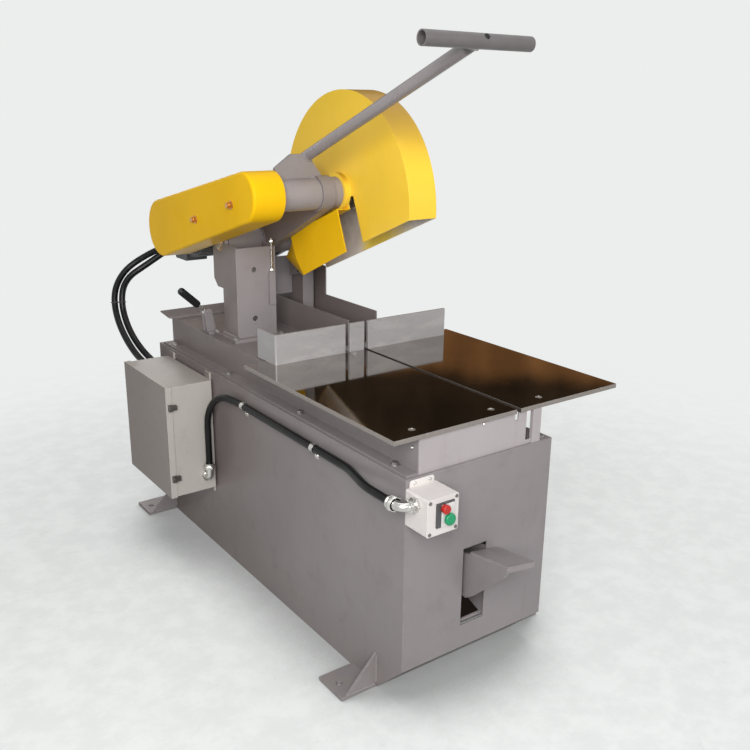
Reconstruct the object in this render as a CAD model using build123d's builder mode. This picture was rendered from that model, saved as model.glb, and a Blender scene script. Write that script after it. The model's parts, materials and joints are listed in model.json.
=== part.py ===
"""Abrasive cut-off saw on a steel cabinet.

Millimetres. +X is to the right of a person at the handle, +Y goes to the back, +Z is up.
The origin is on the floor, at the centre of the four floor bolts.
The cutting head is drawn raised, as it rests.
"""

import math
import os

from build123d import *

os.makedirs("parts", exist_ok=True)

# Floor fixing
bolt_outset = 82.0
bolt_inset = 90.0
floor_hole = 18.0
foot_size = 112.0
foot_thick = 10.0
gusset_height = 106.0

# Cabinet
cabinet_width = 500.0
cabinet_length = 1500.0
cabinet_height = 650.0
cabinet_sheet = 4.0
front_overhang = 168.0
toe_space = 108.0

# Upper frame, table and fence
frame_height = 95.0
frame_wall = 5.0
table_thick = 12.0
table_length = 748.0
slot_width = 14.0
fence_height = 92.0
fence_thick = 10.0
wheel_x = 120.0

# Cutting head
spindle_rise = 490.0
spindle_setback = 772.0
pivot_rise = 303.0
pivot_setback = 1160.0
motor_rise = 330.0
motor_setback = 1399.0
head_tilt = 22.0
head_swing = 29.0
housing_radius = 48.0
spindle_radius = 20.0
arbor_radius = 12.7
pivot_radius = 22.5
barrel_radius = 54.0
guard_radius = 337.0
guard_width = 96.0
guard_chord = 175.0
guard_sheet = 3.0
belt_guard_front = 74.0
belt_guard_back = 97.0
belt_guard_depth = 103.0
spindle_pulley_radius = 55.0
motor_pulley_radius = 80.0
motor_radius = 112.0
handle_reach = 722.0
handle_climb = 286.0
handle_bar_length = 326.0

# Electrics
box_length = 357.0
box_height = 387.0
box_depth = 160.0
switch_size = 97.0
conduit_radius = 11.0
cable_diameter = 24.0

# Places that follow from the sizes above
half_width = cabinet_width / 2
bolt_pitch_x = cabinet_width + 2 * bolt_outset
bolt_pitch_y = cabinet_length - 2 * bolt_inset
cab_front = -bolt_pitch_y / 2 - front_overhang
cab_back = cab_front + cabinet_length
frame_top = cabinet_height + frame_height
deck_top = frame_top - 2
table_top = frame_top + table_thick
table_front = cab_front + 2
table_back = table_front + table_length
frame_front = cab_front + 8
frame_back = cab_back - 23
frame_left = -half_width + 45
frame_right = half_width - 15
fence_front = table_back - 58
fence_top = table_top + fence_height
spindle_y = cab_front + spindle_setback
spindle_z = table_top + spindle_rise
pivot_y = cab_front + pivot_setback
pivot_z = table_top + pivot_rise
motor_y = cab_front + motor_setback
motor_z = table_top + motor_rise
guard_left = wheel_x - guard_width / 2
guard_right = wheel_x + guard_width / 2
belt_back = frame_left + 43
belt_face = belt_back - belt_guard_depth
head_cos = math.cos(math.radians(head_tilt))
head_sin = math.sin(math.radians(head_tilt))
belt_length = math.hypot(motor_y - spindle_y, motor_z - spindle_z)


def across(x):
    """Plane square to X at x. Its own axes are the machine's Y and Z."""
    return Plane.YZ.offset(x)


def in_head(x):
    """Plane square to X at x, on the spindle axis and tilted as the head rests."""
    return Plane(origin=(x, spindle_y, spindle_z), x_dir=(0, head_cos, -head_sin), z_dir=(1, 0, 0))


def along_belt(x):
    """Plane square to X at x, on the spindle axis, with its first axis towards the motor."""
    run = (0, motor_y - spindle_y, motor_z - spindle_z)
    return Plane(origin=(x, spindle_y, spindle_z), x_dir=run, z_dir=(1, 0, 0))


def block(x, y, z, mode=Mode.ADD):
    """Box between two values on each axis."""
    with Locations(((x[0] + x[1]) / 2, (y[0] + y[1]) / 2, (z[0] + z[1]) / 2)):
        Box(x[1] - x[0], y[1] - y[0], z[1] - z[0], mode=mode)


def outline(plane, points, length, mode=Mode.ADD):
    """Straight-sided outline on a plane, pushed out along its normal."""
    with BuildSketch(plane, mode=Mode.PRIVATE) as face:
        with BuildLine():
            Polyline(*points, close=True)
        make_face()
    extrude(face.sketch, amount=length, mode=mode)


def disc(plane, centre, radius, length, mode=Mode.ADD):
    """Round bar or hole on a plane, pushed out along its normal."""
    with BuildSketch(plane, mode=Mode.PRIVATE) as face:
        with Locations(centre):
            Circle(radius)
    extrude(face.sketch, amount=length, mode=mode)


def ring(plane, centre, outer, inner, length, mode=Mode.ADD):
    """Round sleeve on a plane, pushed out along its normal."""
    with BuildSketch(plane, mode=Mode.PRIVATE) as face:
        with Locations(centre):
            Circle(outer)
            Circle(inner, mode=Mode.SUBTRACT)
    extrude(face.sketch, amount=length, mode=mode)


def wrap(plane, circles, length, mode=Mode.ADD):
    """Outline drawn tight round several circles, pushed out along the plane's normal."""
    with BuildSketch(plane, mode=Mode.PRIVATE) as face:
        for u, v, radius in circles:
            with Locations((u, v)):
                Circle(radius)
        make_hull()
    extrude(face.sketch, amount=length, mode=mode)


def hexagon(plane, centre, across_flats, length, mode=Mode.ADD):
    """Hexagon head on a plane, pushed out along its normal."""
    with BuildSketch(plane, mode=Mode.PRIVATE) as face:
        with Locations(centre):
            RegularPolygon(across_flats / 2, 6, major_radius=False)
    extrude(face.sketch, amount=length, mode=mode)


def about_pivot(y, z, degrees):
    """Where a point given from the head's pivot lies once turned by some degrees."""
    turn = math.radians(degrees)
    return (
        pivot_y + y * math.cos(turn) - z * math.sin(turn),
        pivot_z + y * math.sin(turn) + z * math.cos(turn),
    )


# Cabinet: folded front with a toe space, two sides, a rear panel and a top
inner = half_width - cabinet_sheet
under_top = cabinet_height - cabinet_sheet
pedal_slot_x = (-54.0, 28.0)
pedal_slot_z = (0.27 * cabinet_height, 0.623 * cabinet_height)
bevel = cabinet_sheet * math.sqrt(2)

with BuildPart() as cabinet_front_panel:
    outline(
        across(-inner),
        [
            (cab_front, under_top),
            (cab_front, toe_space),
            (cab_front + toe_space, 0),
            (cab_front + toe_space + bevel, 0),
            (cab_front + cabinet_sheet, toe_space - cabinet_sheet + bevel),
            (cab_front + cabinet_sheet, under_top),
        ],
        2 * inner,
    )
    block(pedal_slot_x, (cab_front - 5, cab_front + 10), pedal_slot_z, mode=Mode.SUBTRACT)
    disc(
        Plane.XZ.offset(-cab_front - 10),
        (-half_width + 46, cabinet_height - 71),
        12,
        20,
        mode=Mode.SUBTRACT,
    )
cabinet_front_panel.part.label = "cabinet_front_panel"
export_step(cabinet_front_panel.part, "parts/cabinet_front_panel.step")

side_points = [
    (cab_front, under_top),
    (cab_front, toe_space),
    (cab_front + toe_space, 0),
    (cab_back, 0),
    (cab_back, under_top),
]

with BuildPart() as cabinet_left_side:
    outline(across(-half_width), side_points, cabinet_sheet)
cabinet_left_side.part.label = "cabinet_left_side"
export_step(cabinet_left_side.part, "parts/cabinet_left_side.step")

with BuildPart() as cabinet_right_side:
    outline(across(half_width - cabinet_sheet), side_points, cabinet_sheet)
cabinet_right_side.part.label = "cabinet_right_side"
export_step(cabinet_right_side.part, "parts/cabinet_right_side.step")

with BuildPart() as cabinet_rear_panel:
    block((-inner, inner), (cab_back - cabinet_sheet, cab_back), (0, under_top))
cabinet_rear_panel.part.label = "cabinet_rear_panel"
export_step(cabinet_rear_panel.part, "parts/cabinet_rear_panel.step")

# Bolts through the frame's two flanges into the cabinet top
flange_bolts = []
for bolt_x in (frame_left - 17, frame_right - frame_wall - 20):
    for share in (0.05, 0.36, 0.665, 0.96):
        flange_bolts.append((bolt_x, frame_front + share * (frame_back - frame_front)))

with BuildPart() as cabinet_top_plate:
    block((-half_width, half_width), (cab_front, cab_back), (under_top, cabinet_height))
    for spot in flange_bolts:
        disc(Plane.XY.offset(under_top - 1), spot, 5.5, cabinet_sheet + 2, mode=Mode.SUBTRACT)
cabinet_top_plate.part.label = "cabinet_top_plate"
export_step(cabinet_top_plate.part, "parts/cabinet_top_plate.step")

# Four floor feet, each a drilled plate with a gusset along its front edge
with BuildPart() as floor_feet:
    for side in (-1, 1):
        wall = side * half_width
        outside = side * (half_width + foot_size)
        for bolt_y in (-bolt_pitch_y / 2, bolt_pitch_y / 2):
            front = bolt_y - 58
            block(sorted((wall, outside)), (front, front + foot_size), (0, foot_thick))
            outline(
                Plane.XZ.offset(-front),
                [(wall, foot_thick), (wall + side * 95, foot_thick), (wall, gusset_height)],
                -8,
            )
            disc(
                Plane.XY.offset(-1),
                (side * bolt_pitch_x / 2, bolt_y),
                floor_hole / 2,
                foot_thick + 2,
                mode=Mode.SUBTRACT,
            )
floor_feet.part.label = "floor_feet"
export_step(floor_feet.part, "parts/floor_feet.step")

# Upper frame: side and rear walls with a foot flange on each long side, open at the front right
with BuildPart() as upper_frame:
    block((frame_left, frame_right), (frame_front + frame_wall, frame_back), (cabinet_height, frame_top))
    block(
        (frame_left + frame_wall, frame_right - frame_wall),
        (frame_front, frame_back - frame_wall),
        (cabinet_height - 1, frame_top + 1),
        mode=Mode.SUBTRACT,
    )
    block((frame_left - 37, frame_left), (frame_front, frame_back), (cabinet_height, cabinet_height + 6))
    block(
        (frame_right - frame_wall - 40, frame_right - frame_wall),
        (frame_front + frame_wall, frame_back - frame_wall),
        (cabinet_height, cabinet_height + 6),
    )
    block(
        (frame_right - frame_wall - 1, frame_right + 1),
        (frame_front, frame_front + 140),
        (cabinet_height + 6, frame_top + 1),
        mode=Mode.SUBTRACT,
    )
    for spot in flange_bolts:
        disc(Plane.XY.offset(cabinet_height - 1), spot, 5.5, 8, mode=Mode.SUBTRACT)
upper_frame.part.label = "upper_frame"
export_step(upper_frame.part, "parts/upper_frame.step")

# The plate across the frame's front, notched in line with the table's slot, and a leg on its right
with BuildPart() as frame_front_plate:
    block((frame_left, wheel_x + 36), (frame_front, frame_front + frame_wall), (cabinet_height, frame_top))
    block(
        (wheel_x + 36, frame_right - 30),
        (frame_front, frame_front + frame_wall),
        (cabinet_height, cabinet_height + 10),
    )
    block(
        (frame_right - 60, frame_right - 30),
        (table_front, frame_front + frame_wall),
        (cabinet_height, frame_top),
    )
    block(
        (wheel_x - slot_width / 2, wheel_x + slot_width / 2),
        (frame_front - 1, frame_front + frame_wall + 1),
        (frame_top - 22, frame_top + 1),
        mode=Mode.SUBTRACT,
    )
frame_front_plate.part.label = "frame_front_plate"
export_step(frame_front_plate.part, "parts/frame_front_plate.step")

# Column and post carry the head's pivot, and stand on base plates bolted to the deck
column_left = belt_back + 6
column_right = -10.0
column_front = pivot_y - 120
post_left = frame_right - 91
post_right = frame_right - 47
base_bolts = []
for bolt_x in (column_left - 14, column_right + 14):
    for bolt_y in (column_front - 14, pivot_y + 4):
        base_bolts.append((bolt_x, bolt_y))
for bolt_y in (pivot_y - 54, pivot_y + 54):
    base_bolts.append((post_left + 22, bolt_y))

# Table: two plates with the wheel slot between them
screw_spots_left = [
    (frame_left + 2, table_front + 40),
    (58.0, table_front + 40),
    (frame_left + 2, table_back - 26),
]
screw_spots_right = [
    (frame_right - 2, table_front + 40),
    (frame_right - 2, table_back - 26),
]
table_left_edge = -half_width - 37
table_right_edge = half_width + 254


def table_plate(x, spots):
    """One plate of the table with its countersunk screw seats."""
    block(x, (table_front, table_back), (frame_top, table_top))
    for spot in spots:
        disc(Plane.XY.offset(table_top - 5), spot, 9, 6, mode=Mode.SUBTRACT)


with BuildPart() as table_left_plate:
    table_plate((table_left_edge, wheel_x - slot_width / 2), screw_spots_left)
table_left_plate.part.label = "table_left_plate"
export_step(table_left_plate.part, "parts/table_left_plate.step")

with BuildPart() as table_right_plate:
    table_plate((wheel_x + slot_width / 2, table_right_edge), screw_spots_right)
table_right_plate.part.label = "table_right_plate"
export_step(table_right_plate.part, "parts/table_right_plate.step")

with BuildPart() as table_screws:
    for spot in screw_spots_left + screw_spots_right:
        disc(Plane.XY.offset(table_top - 5), spot, 9, 4.4)
        hexagon(Plane.XY.offset(table_top - 3.6), spot, 6, 4, mode=Mode.SUBTRACT)
table_screws.part.label = "table_screws"
export_step(table_screws.part, "parts/table_screws.step")

# Fence: three upright plates with a foot behind each, and a bent end on the left one
fence_back = fence_front + fence_thick
foot_back = fence_back + 36
fence_left_x = (-half_width + 38, wheel_x - 80)
fence_centre_x = (wheel_x - 63, wheel_x - 8)
fence_right_x = (wheel_x + 8, wheel_x + 325)


def fence_plate(x):
    """Upright plate with a foot along its back."""
    block(x, (fence_front, fence_back), (table_top, fence_top))
    block(x, (fence_back, foot_back), (table_top, table_top + 8))


with BuildPart() as fence_left:
    fence_plate(fence_left_x)
    block((fence_left_x[0], fence_left_x[0] + 8), (fence_back, fence_front + 110), (table_top, fence_top))
    fillet(
        fence_left.edges()
        .filter_by(Axis.Z)
        .filter_by_position(Axis.X, fence_left_x[0] - 1, fence_left_x[0] + 1)
        .sort_by(Axis.Y)[0],
        6,
    )
fence_left.part.label = "fence_left"
export_step(fence_left.part, "parts/fence_left.step")

with BuildPart() as fence_centre:
    fence_plate(fence_centre_x)
fence_centre.part.label = "fence_centre"
export_step(fence_centre.part, "parts/fence_centre.step")

with BuildPart() as fence_right:
    fence_plate(fence_right_x)
fence_right.part.label = "fence_right"
export_step(fence_right.part, "parts/fence_right.step")

fence_spots = [
    (fence_left_x[0] + 60, fence_back + 18),
    (fence_left_x[1] - 40, fence_back + 18),
    ((fence_centre_x[0] + fence_centre_x[1]) / 2, fence_back + 18),
    (fence_right_x[0] + 50, fence_back + 18),
    (fence_right_x[1] - 60, fence_back + 18),
]

with BuildPart() as machine_bolts:
    for spot in flange_bolts:
        hexagon(Plane.XY.offset(cabinet_height + 6), spot, 17, 7)
        disc(Plane.XY.offset(under_top - 8), spot, 5, cabinet_sheet + 14)
    for spot in base_bolts:
        hexagon(Plane.XY.offset(deck_top + 12), spot, 17, 7)
        disc(Plane.XY.offset(deck_top - 14), spot, 5, 26)
    for spot in fence_spots:
        hexagon(Plane.XY.offset(table_top + 8), spot, 17, 7)
    hexagon(Plane.XY.offset(table_top), (fence_left_x[1] + 14, fence_front - 26), 17, 7)
machine_bolts.part.label = "machine_bolts"
export_step(machine_bolts.part, "parts/machine_bolts.step")

# Spark pan behind the fence: a deck with a raised rear lip and two upright walls
pan_front = table_back + 4
deck_slot = (frame_left + 45, frame_back - 82)

with BuildPart() as spark_deck:
    block(
        (frame_left + frame_wall, frame_right - frame_wall),
        (pan_front, frame_back - frame_wall),
        (deck_top - 8, deck_top),
    )
    outline(
        across(frame_left - 15),
        [
            (frame_back - 19, deck_top),
            (frame_back - frame_wall, deck_top),
            (frame_back - frame_wall, frame_top),
            (frame_back + 1, frame_top),
            (frame_back + 73, frame_top + 8),
            (frame_back + 73, frame_top + 12),
            (frame_back + 1, frame_top + 4),
            (frame_back - 19, frame_top + 4),
        ],
        frame_right - frame_left + 15,
    )
    block(
        (frame_left - 16, frame_left + frame_wall),
        (frame_back - 20, frame_back - frame_wall),
        (deck_top - 1, frame_top),
        mode=Mode.SUBTRACT,
    )
    block(
        (frame_right - frame_wall, frame_right + 1),
        (frame_back - 20, frame_back - frame_wall),
        (deck_top - 1, frame_top),
        mode=Mode.SUBTRACT,
    )
    with BuildSketch(Plane.XY.offset(deck_top - 9)):
        with Locations(deck_slot):
            SlotOverall(48, 12)
    extrude(amount=10, mode=Mode.SUBTRACT)
    for spot in base_bolts:
        disc(Plane.XY.offset(deck_top - 9), spot, 5.5, 10, mode=Mode.SUBTRACT)
spark_deck.part.label = "spark_deck"
export_step(spark_deck.part, "parts/spark_deck.step")

wall_end = frame_back - 22

with BuildPart() as spark_wall_centre:
    block((wheel_x - 26, wheel_x - 22), (pan_front + 4, wall_end), (deck_top, fence_top - 8))
spark_wall_centre.part.label = "spark_wall_centre"
export_step(spark_wall_centre.part, "parts/spark_wall_centre.step")

with BuildPart() as spark_wall_right:
    outline(
        across(frame_right - 30),
        [
            (pan_front + 4, deck_top),
            (wall_end, deck_top),
            (wall_end, table_top + 101),
            (pivot_y + 68, table_top + 101),
            (pivot_y + 68, table_top + 203),
            (pivot_y - 95, table_top + 203),
            (pivot_y - 95, table_top + 101),
            (pan_front + 4, table_top + 101),
        ],
        4,
    )
spark_wall_right.part.label = "spark_wall_right"
export_step(spark_wall_right.part, "parts/spark_wall_right.step")

# Pivot column: welded plates, a lug for the pivot on each side and a brace across to the post
column_base = deck_top + 12
column_back = column_front + 100
lug_radius = 46.0
bush_radius = pivot_radius + 5
plate = 12.0

with BuildPart() as pivot_column:
    block(
        (column_left - 24, column_right + 24),
        (column_front - 24, pivot_y + 14),
        (deck_top, column_base),
    )
    block((column_left, column_right), (column_front, column_front + plate), (column_base, pivot_z - 7))
    block((column_left, column_right), (column_back - plate, column_back), (column_base, pivot_z - 170))
    for left in (column_left, column_right - plate):
        outline(
            across(left),
            [
                (column_front, column_base),
                (column_back, column_base),
                (column_back, pivot_z - 152),
                (pivot_y + 20, pivot_z - 152),
                (pivot_y + lug_radius, pivot_z - 126),
                (pivot_y + lug_radius, pivot_z),
                (pivot_y - lug_radius, pivot_z),
                (column_front, pivot_z - 7),
            ],
            plate,
        )
        disc(across(left), (pivot_y, pivot_z), lug_radius, plate)
    outline(
        Plane.XZ.offset(-column_front),
        [
            (column_right - 28, pivot_z - 203),
            (column_right - 4, pivot_z - 203),
            (column_right - 4, pivot_z - 97),
            (column_right - 10, pivot_z - 90),
            (column_right - 22, pivot_z - 90),
            (column_right - 28, pivot_z - 97),
        ],
        8,
    )
    block(
        (column_left, column_right),
        (column_front + plate, pivot_y - 52),
        (pivot_z - 36, pivot_z - 24),
    )
    block((column_right, post_left), (pivot_y + 34, pivot_y + 42), (pivot_z - 210, pivot_z - 75))
    disc(across(column_left - 1), (pivot_y, pivot_z), bush_radius, 200, mode=Mode.SUBTRACT)
    middle = (column_left + column_right) / 2
    for height in (72, 237):
        disc(
            Plane.XZ.offset(-column_front - 20),
            (middle - 8, deck_top + height),
            9,
            30,
            mode=Mode.SUBTRACT,
        )
    for spot in base_bolts[:4]:
        disc(Plane.XY.offset(deck_top - 1), spot, 5.5, 14, mode=Mode.SUBTRACT)
pivot_column.part.label = "pivot_column"
export_step(pivot_column.part, "parts/pivot_column.step")

# Pivot post on the far side of the wheel, with a shelf for the rubber stop
post_half = 42.0
shelf_top = pivot_z - 84

with BuildPart() as pivot_post:
    block((post_left - 8, post_right + 8), (pivot_y - 68, pivot_y + 68), (deck_top, column_base))
    block((post_left, post_right), (pivot_y - post_half, pivot_y + post_half), (column_base, pivot_z))
    disc(across(post_left), (pivot_y, pivot_z), post_half, post_right - post_left)
    outline(
        across(post_left - 42),
        [
            (pivot_y - 72, shelf_top),
            (pivot_y - 72, shelf_top - 12),
            (pivot_y - 24, shelf_top - 50),
            (pivot_y - 24, shelf_top),
        ],
        42,
    )
    disc(across(post_left - 1), (pivot_y, pivot_z), bush_radius, 60, mode=Mode.SUBTRACT)
    disc(Plane.XY.offset(shelf_top - 60), (post_left - 22, pivot_y - 50), 5.2, 62, mode=Mode.SUBTRACT)
    for spot in base_bolts[4:]:
        disc(Plane.XY.offset(deck_top - 1), spot, 5.5, 14, mode=Mode.SUBTRACT)
pivot_post.part.label = "pivot_post"
export_step(pivot_post.part, "parts/pivot_post.step")

with BuildPart() as pivot_bushes:
    for start, length in ((column_left, plate), (column_right - plate, plate), (post_left, 44)):
        ring(across(start), (pivot_y, pivot_z), bush_radius, pivot_radius + 0.05, length)
pivot_bushes.part.label = "pivot_bushes"
export_step(pivot_bushes.part, "parts/pivot_bushes.step")

bumper_height = 29.0

with BuildPart() as stop_bumper:
    disc(Plane.XY.offset(shelf_top), (post_left - 22, pivot_y - 50), 17, bumper_height)
    disc(Plane.XY.offset(shelf_top - 34), (post_left - 22, pivot_y - 50), 5, 34)
    chamfer(stop_bumper.faces().sort_by(Axis.Z)[-1].edges(), 3)
stop_bumper.part.label = "stop_bumper"
export_step(stop_bumper.part, "parts/stop_bumper.step")

# Cutting head: pivot shaft, with a barrel that turns between the column's lugs
with BuildPart() as pivot_shaft:
    disc(across(column_left - 4), (pivot_y, pivot_z), pivot_radius, post_right + 8 - column_left)
    disc(
        across(column_left + plate + 0.5),
        (pivot_y, pivot_z),
        barrel_radius,
        column_right - column_left - 2 * plate - 1,
    )
pivot_shaft.part.label = "pivot_shaft"
export_step(pivot_shaft.part, "parts/pivot_shaft.step")

# Arm from the pivot forward to the spindle and back to a plate under the motor
arm_left = column_right + 4
arm_right = arm_left + 30
boss_right = post_left - 2
motor_plate = motor_z - motor_radius - 12
clamp_radius = housing_radius + 5
clamp_length = 46.0
finger = [(-20, -54.5), (-70, -54.5), (-70, -24), (-44, 8), (0, 8)]

tail = [
    (pivot_y, pivot_z - 46),
    (motor_y - 91, motor_plate - 12),
    (motor_y + 93, motor_plate - 12),
    (motor_y + 93, motor_plate),
    (motor_y - 71, motor_plate),
    (pivot_y + 44, pivot_z + 20),
    (pivot_y, pivot_z),
]

with BuildPart() as head_arm:
    with BuildSketch(across(arm_left)):
        for centre, radius in (((spindle_y, spindle_z), clamp_radius), ((pivot_y, pivot_z), 50)):
            with Locations(centre):
                Circle(radius)
        make_hull()
        with BuildLine():
            Polyline(*tail, close=True)
        make_face()
    extrude(amount=arm_right - arm_left)
    wrap(
        across(arm_left + 22),
        [
            (spindle_y + 0.29 * (pivot_y - spindle_y), spindle_z + 0.29 * (pivot_z - spindle_z), 38),
            (spindle_y + 0.72 * (pivot_y - spindle_y), spindle_z + 0.72 * (pivot_z - spindle_z), 34),
        ],
        20,
        mode=Mode.SUBTRACT,
    )
    disc(across(arm_left - 14), (spindle_y, spindle_z), clamp_radius, clamp_length)
    disc(across(column_right + 1), (pivot_y, pivot_z), 50, boss_right - column_right - 1)
    outline(across(arm_left + 108), tail, 14)
    block(
        (arm_left - 4, arm_left + 136),
        (motor_y - 91, motor_y + 93),
        (motor_plate - 12, motor_plate),
    )
    outline(across(post_left - 38), [about_pivot(y, z, -head_swing) for y, z in finger], 32)
    disc(across(arm_left - 20), (spindle_y, spindle_z), housing_radius, 80, mode=Mode.SUBTRACT)
    disc(across(column_right - 1), (pivot_y, pivot_z), pivot_radius, 200, mode=Mode.SUBTRACT)
head_arm.part.label = "head_arm"
export_step(head_arm.part, "parts/head_arm.step")

housing_right = guard_left - 6
bearing_outer = 40.0

with BuildPart() as spindle_housing:
    ring(
        across(belt_back),
        (spindle_y, spindle_z),
        housing_radius,
        bearing_outer,
        housing_right - belt_back - 8,
    )
    ring(
        across(housing_right - 8),
        (spindle_y, spindle_z),
        housing_radius,
        spindle_radius + 1,
        8,
    )
spindle_housing.part.label = "spindle_housing"
export_step(spindle_housing.part, "parts/spindle_housing.step")

with BuildPart() as spindle_bearings:
    for start in (belt_back + 12, housing_right - 30):
        ring(
            across(start),
            (spindle_y, spindle_z),
            bearing_outer,
            spindle_radius + 0.05,
            18,
        )
spindle_bearings.part.label = "spindle_bearings"
export_step(spindle_bearings.part, "parts/spindle_bearings.step")

# Belt guard: back plate on the housing and a deep cover held by two cap nuts
guard_ends = [(0, 0, belt_guard_front), (belt_length, 0, belt_guard_back)]
guard_inside = [(0, 0, belt_guard_front - 3), (belt_length, 0, belt_guard_back - 3)]
stud_spots = [(0.114 * belt_length, -9), (0.52 * belt_length, -14)]

with BuildPart() as belt_guard_plate:
    wrap(along_belt(belt_back - 4), guard_ends, 4)
    disc(along_belt(belt_back - 5), (0, 0), spindle_radius + 6, 6, mode=Mode.SUBTRACT)
    disc(along_belt(belt_back - 5), (belt_length, 0), 58, 6, mode=Mode.SUBTRACT)
belt_guard_plate.part.label = "belt_guard_plate"
export_step(belt_guard_plate.part, "parts/belt_guard_plate.step")

with BuildPart() as belt_guard_cover:
    wrap(along_belt(belt_face), guard_ends, belt_guard_depth - 4)
    fillet(belt_guard_cover.faces().sort_by(Axis.X)[0].edges(), 9)
    wrap(along_belt(belt_face + 3), guard_inside, belt_guard_depth, mode=Mode.SUBTRACT)
    for spot in stud_spots:
        disc(along_belt(belt_face - 1), spot, 5.4, 6, mode=Mode.SUBTRACT)
belt_guard_cover.part.label = "belt_guard_cover"
export_step(belt_guard_cover.part, "parts/belt_guard_cover.step")

with BuildPart() as belt_guard_nuts:
    for spot in stud_spots:
        disc(along_belt(belt_face), spot, 5, belt_guard_depth - 4)
        disc(along_belt(belt_face - 2), spot, 13, 2)
        hexagon(along_belt(belt_face - 10), spot, 18, 8)
        disc(along_belt(belt_face - 16), spot, 8, 6)
belt_guard_nuts.part.label = "belt_guard_nuts"
export_step(belt_guard_nuts.part, "parts/belt_guard_nuts.step")

# Drive: two grooves on each pulley, and two belts
pulley_left = belt_face + 16
pulley_width = 52.0
groove_at = (pulley_left + 15, pulley_left + 37)


def pulley(centre, radius, bore):
    """Two-groove pulley on a line along X through a point given as Y and Z."""
    ring(across(pulley_left), centre, radius, bore, pulley_width)
    for middle_x in groove_at:
        ring(across(middle_x - 6), centre, radius + 1, radius - 12, 12, mode=Mode.SUBTRACT)


with BuildPart() as drive_belts:
    for middle_x in groove_at:
        wrap(
            along_belt(middle_x - 5),
            [
                (0, 0, spindle_pulley_radius + 1.5),
                (belt_length, 0, motor_pulley_radius + 1.5),
            ],
            10,
        )
    for middle_x in groove_at:
        wrap(
            along_belt(middle_x - 6),
            [
                (0, 0, spindle_pulley_radius - 10),
                (belt_length, 0, motor_pulley_radius - 10),
            ],
            12,
            mode=Mode.SUBTRACT,
        )
drive_belts.part.label = "drive_belts"
export_step(drive_belts.part, "parts/drive_belts.step")

with BuildPart() as spindle_shaft:
    disc(
        across(pulley_left - 3),
        (spindle_y, spindle_z),
        spindle_radius,
        wheel_x - 12 - pulley_left + 3,
    )
    disc(across(wheel_x - 12), (spindle_y, spindle_z), arbor_radius, 54)
    chamfer(spindle_shaft.faces().sort_by(Axis.X)[-1].edges(), 2)
spindle_shaft.part.label = "spindle_shaft"
export_step(spindle_shaft.part, "parts/spindle_shaft.step")

with BuildPart() as spindle_pulley:
    pulley((spindle_y, spindle_z), spindle_pulley_radius, spindle_radius)
spindle_pulley.part.label = "spindle_pulley"
export_step(spindle_pulley.part, "parts/spindle_pulley.step")

# Two flanges with a gap for the wheel, and the nut that clamps it
with BuildPart() as wheel_flanges:
    for start in (wheel_x - 12, wheel_x + 2):
        ring(across(start), (spindle_y, spindle_z), 52, arbor_radius, 10)
    hexagon(across(wheel_x + 12), (spindle_y, spindle_z), 46, 20)
    disc(across(wheel_x + 11), (spindle_y, spindle_z), arbor_radius, 22, mode=Mode.SUBTRACT)
wheel_flanges.part.label = "wheel_flanges"
export_step(wheel_flanges.part, "parts/wheel_flanges.step")

# Wheel guard: a hood open below, its near wall cut away behind the spindle
guard_centre = (0, -38)
cut_top = -64.0

with BuildPart() as wheel_guard:
    disc(in_head(guard_left), guard_centre, guard_radius, guard_width)
    disc(
        in_head(guard_left + guard_sheet),
        guard_centre,
        guard_radius - guard_sheet,
        guard_width - 2 * guard_sheet,
        mode=Mode.SUBTRACT,
    )
    outline(
        in_head(guard_left - 1),
        [(-500, -guard_chord), (500, -guard_chord), (500, -500), (-500, -500)],
        guard_width + 2,
        mode=Mode.SUBTRACT,
    )
    outline(
        in_head(guard_left - 1),
        [(-66, -240), (400, -240), (400, cut_top), (-33, cut_top), (-33, -30), (-66, -30)],
        guard_sheet + 2,
        mode=Mode.SUBTRACT,
    )
    outline(
        in_head(guard_left + guard_sheet - 0.5),
        [(200, -240), (400, -240), (400, cut_top), (200, cut_top)],
        guard_width - 2 * guard_sheet + 0.5,
        mode=Mode.SUBTRACT,
    )
    ring(in_head(guard_left - 18), (0, 0), housing_radius + 12, housing_radius + 0.3, 18)
    disc(in_head(guard_left - 1), (0, 0), spindle_radius + 8, guard_sheet + 1.5, mode=Mode.SUBTRACT)
wheel_guard.part.label = "wheel_guard"
export_step(wheel_guard.part, "parts/wheel_guard.step")

# Spark chute: a shallow hood on the guard's near wall, open in front and narrowed to a point behind
chute_left = guard_left - 47


def chute_loft(near, far, x_near, x_far, mode=Mode.ADD):
    """Straight-edged skin between an outline near the handle side and one on the guard."""
    with BuildSketch(in_head(x_near), mode=Mode.PRIVATE) as first:
        with BuildLine():
            Polyline(*near, close=True)
        make_face()
    with BuildSketch(in_head(x_far), mode=Mode.PRIVATE) as second:
        with BuildLine():
            Polyline(*far, close=True)
        make_face()
    loft([first.sketch, second.sketch], ruled=True, mode=mode)


with BuildPart() as spark_chute:
    chute_loft(
        [(-35, cut_top + 3), (267, cut_top + 7), (262, -139), (236, -203), (-35, -193)],
        [(-35, cut_top + 3), (330, cut_top + 5), (405, -106), (322, -190), (-35, -190)],
        chute_left,
        guard_left,
    )
    chute_loft(
        [(-60, cut_top), (263, cut_top + 4), (258, -139), (231, -215), (-60, -215)],
        [(-60, cut_top), (325, cut_top + 1), (399, -106), (314, -202), (-60, -202)],
        chute_left + 3,
        guard_left + 1,
        mode=Mode.SUBTRACT,
    )
spark_chute.part.label = "spark_chute"
export_step(spark_chute.part, "parts/spark_chute.step")

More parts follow.
